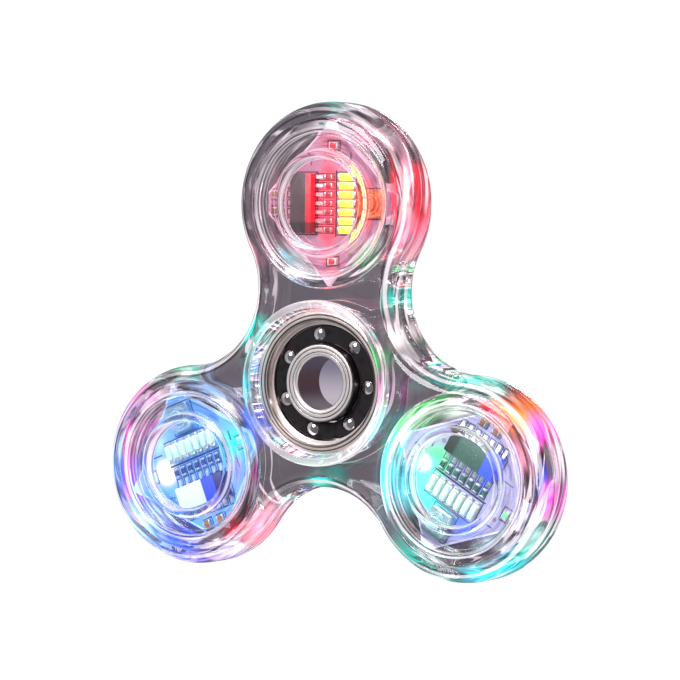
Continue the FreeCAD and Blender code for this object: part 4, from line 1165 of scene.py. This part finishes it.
# %% Modules
# Painted light: each chip's tone and lit colour are its module's light on black resin.
CHIP_LOOK = {
    "top": ((0.045, 0.022, 0.028), (0.42, 0.005, 0.015), -3.75, -3.45, (0.75, 0.0, 0.02), "u"),
    "left": ((0.02, 0.05, 0.55), (0.50, 0.70, 0.85), -0.6, -0.4, (0.16, 0.26, 0.36), "v"),
    "right": ((0.03, 0.09, 0.07), (0.05, 0.10, 0.75), 1.9, 2.6, (0.01, 0.04, 0.5), "v"),
}
# Painted light and reflection: these colours are the module's light on the switch, the tin and the
# resistors; the switch, its plunger and the resistors glow with it, though they are no lamps.
SWITCH_LOOK = {"top": ((0.9, 0.30, 0.12), (0.75, 0.10, 0.06), (0.9, 0.12, 0.05), 0.35),
               "left": ((0.45, 0.60, 0.75), (0.25, 0.45, 0.65), (0.10, 0.35, 0.6), 0.3),
               "right": ((0.50, 0.62, 0.66), (0.25, 0.50, 0.55), (0.08, 0.4, 0.4), 0.3)}
METAL_LOOK = {"top": (0.92, 0.58, 0.64), "left": (0.70, 0.84, 1.0), "right": (0.70, 0.86, 0.86)}
RESIN_LOOK = {"top": (0.34, 0.012, 0.03), "left": (0.02, 0.05, 0.22), "right": (0.02, 0.10, 0.09)}
for lobe in LOBES:
    look, bright, dim = BOARD_LOOK[lobe], METAL_LOOK[lobe], RESIN_LOOK[lobe]
    colour, other, glow, power = SWITCH_LOOK[lobe]
    tin = small_part(f"tin_{lobe}", bright, toned(bright, 0.7), 0.2, 1.0, 1600.0)
    resin = small_part(f"resistor_{lobe}", dim, toned(dim, 0.5), 0.3, 0.0, 2000.0, dim, 0.8)
    lit = lamp_lens(f"lamp_{lobe}", *look["lamp"])
    small_lit = lamp_lens(f"corner_lamp_{lobe}", *look["corner"])
    black = chip_material(lobe, *CHIP_LOOK[lobe])
    can = small_part(f"switch_{lobe}", colour, other, 0.2, 0.8, 1200.0, glow, power)
    knob = small_part(f"plunger_{lobe}", other, colour, 0.3, 0.0, 1500.0, glow, power)
    paint_node(f"contact_plate_{lobe}", brass)
    for name, parts, paints, body, node, slot in (
            ("leads", leads, [tin], "rotor", "chip_leads", "solder"),
            ("chip", chip, [black], "rotor", "controller_chip", "chip"),
            ("resistors", resistors, [resin, tin], "rotor", "resistor_row", "resistor"),
            ("lamps", lamps, [lit, tin, housing], "rotor", "lamp_row", "lamp"),
            ("side_lamps", corner, [small_lit, housing], "rotor", "corner_lamps", "lamp_small"),
            ("capacitors", capacitors, [ceramic, tin], "rotor", "capacitor_pair", "capacitor"),
            ("switch", switch, [can], "rotor", "mode_switch", "switch_copper"),
            ("knob", plunger, [knob], f"plunger_{lobe}", "switch_plunger", "plunger"),
            ("cells", cells, [cell_steel], "rotor", "button_cells", "cell_steel")):
        make_piece(f"{name}_{lobe}", placed(parts, lobe), paints, body, [f"{node}_{lobe}"])

# %% [markdown]
# ## The table
# The spinner lies on a white table. Clear plastic on pure white has nothing to bend and would
# vanish, and a lit table would turn grey at its far side. So the table glows: white where it is
# seen directly, and a quiet grey where it is seen through the plastic.

# %% Table
def table_white():
    """White table top with a barely visible grain, shaded under the bore. Seen through the
    plastic it is a quiet grey, as if the spinner stood on a small grey mat."""
    mat = Mat("table_white")
    grain = mat.noise(30.0, 4.0)
    grey = mat.node("ShaderNodeEmission", {}, {
        "Color": mat.mix((0.170, 0.150, 0.175), (0.150, 0.132, 0.155), grain), "Strength": 1.0})
    shade = 1 - mat.far((0.0, 0.0)).rise(6.5 * MM, 8.0 * MM)
    paper = mat.mix((1.05, 1.05, 1.05), (1.02, 1.02, 1.02), grain)
    under = mat.mix((0.52, 0.46, 0.54), (0.20, 0.19, 0.26), mat.y.rise(-3 * MM, 3 * MM))
    paper = mat.mix(paper, under, shade)
    white = mat.node("ShaderNodeEmission", {}, {"Color": paper, "Strength": 1.0})
    direct = mat.node("ShaderNodeLightPath").outputs["Is Camera Ray"]
    shader = mat.node("ShaderNodeMixShader", {}, {0: direct, 1: grey.outputs[0], 2: white.outputs[0]})
    mat.node("ShaderNodeOutputMaterial", {}, {"Surface": shader.outputs[0]})
    return mat.material


HALF_TABLE = 1.5
floor_mesh = bpy.data.meshes.new("table")
corners = [(x * HALF_TABLE, y * HALF_TABLE, -HUB_END) for x, y in ((-1, -1), (1, -1), (1, 1), (-1, 1))]
floor_mesh.from_pydata(corners, [], [(0, 1, 2, 3)])
floor = bpy.data.objects.new("table", floor_mesh)
floor.data.materials.append(table_white())
bpy.context.scene.collection.objects.link(floor)
print("table", 2 * HALF_TABLE, "m wide")

# %% [markdown]
# ## The sky
# Steel and clear plastic show what stands round them. A bright belt between a dim horizon and
# a dim top gives long soft highlights with dark edges, as a light tent does. A panorama of a
# studio could do it, but a colour ramp over the height of each direction is easy to change.

# %% Sky
world = bpy.data.worlds.new("studio")
bpy.context.scene.world = world
world.use_nodes = True
nodes, links = world.node_tree.nodes, world.node_tree.links
aim = nodes.new("ShaderNodeTexCoord")
split = nodes.new("ShaderNodeSeparateXYZ")
fade = nodes.new("ShaderNodeValToRGB")
sky = [(0.0, 0.06), (0.18, 0.08), (0.42, 0.80), (0.66, 0.70), (0.80, 0.22), (1.0, 0.24)]
fade.color_ramp.elements[0].position, fade.color_ramp.elements[1].position = sky[0][0], sky[-1][0]
for position, _ in sky[1:-1]:
    fade.color_ramp.elements.new(position)
for element, (_, level) in zip(fade.color_ramp.elements, sky):
    element.color = (level, level, level, 1)
links.new(aim.outputs["Generated"], split.inputs[0])
links.new(split.outputs["Z"], fade.inputs[0])
links.new(fade.outputs[0], nodes["Background"].inputs["Color"])
print("sky ramp of", len(sky), "steps")

# %% [markdown]
# ## The lamps
# Two square lamps add small, clean highlights that show the plastic is polished. Bare point
# lamps would give specks and hard shadows. They stand high and to the back, where they don't
# mirror in the caps' flat windows and veil the boards.

# %% Lamps
def soft_lamp(name, place, size, power):
    """A square lamp that faces the spinner."""
    data = bpy.data.lights.new(name, "AREA")
    data.shape, data.size, data.energy = "SQUARE", size, power
    lamp = bpy.data.objects.new(name, data)
    lamp.location = place
    lamp.rotation_euler = (-Vector(place)).to_track_quat("-Z", "Y").to_euler()
    bpy.context.scene.collection.objects.link(lamp)


soft_lamp("left_lamp", (-0.14, 0.24, 0.53), 0.22, 2.0)
soft_lamp("back_lamp", (0.10, 0.50, 0.35), 0.25, 1.2)
print("two lamps")

# %% [markdown]
# ## The camera
# The spinner is seen from thirty degrees to its right. A long lens keeps the three lobes
# nearly the same size, where a short one would make the near lobe loom. The direction, the
# point looked at, the roll and the distance are separate numbers, so that one can be changed
# without the others.

# %% Camera
SENSOR, LENS, DISTANCE = 36.0, 177.4, 0.516
tilt, lift, roll = math.radians(30.60), math.radians(2.22), math.radians(0.69)
target = Vector((1.06, 6.51, -0.79)) * MM
towards = Vector((math.sin(tilt) * math.cos(lift), math.sin(lift), math.cos(tilt) * math.cos(lift)))
right = (-towards).cross(Vector((0, 1, 0))).normalized()
up = right.cross(-towards)
right, up = (right * math.cos(roll) + up * math.sin(roll), up * math.cos(roll) - right * math.sin(roll))
camera_data = bpy.data.cameras.new("camera")
camera_data.sensor_width, camera_data.lens = SENSOR, LENS
camera = bpy.data.objects.new("camera", camera_data)
pose = Matrix((right, up, towards)).transposed().to_4x4()
pose.translation = target + towards * DISTANCE
camera.matrix_world = pose
bpy.context.scene.collection.objects.link(camera)
bpy.context.scene.camera = camera
bpy.context.scene.view_settings.view_transform = "Standard"
print("camera at", [round(c, 4) for c in camera.location])
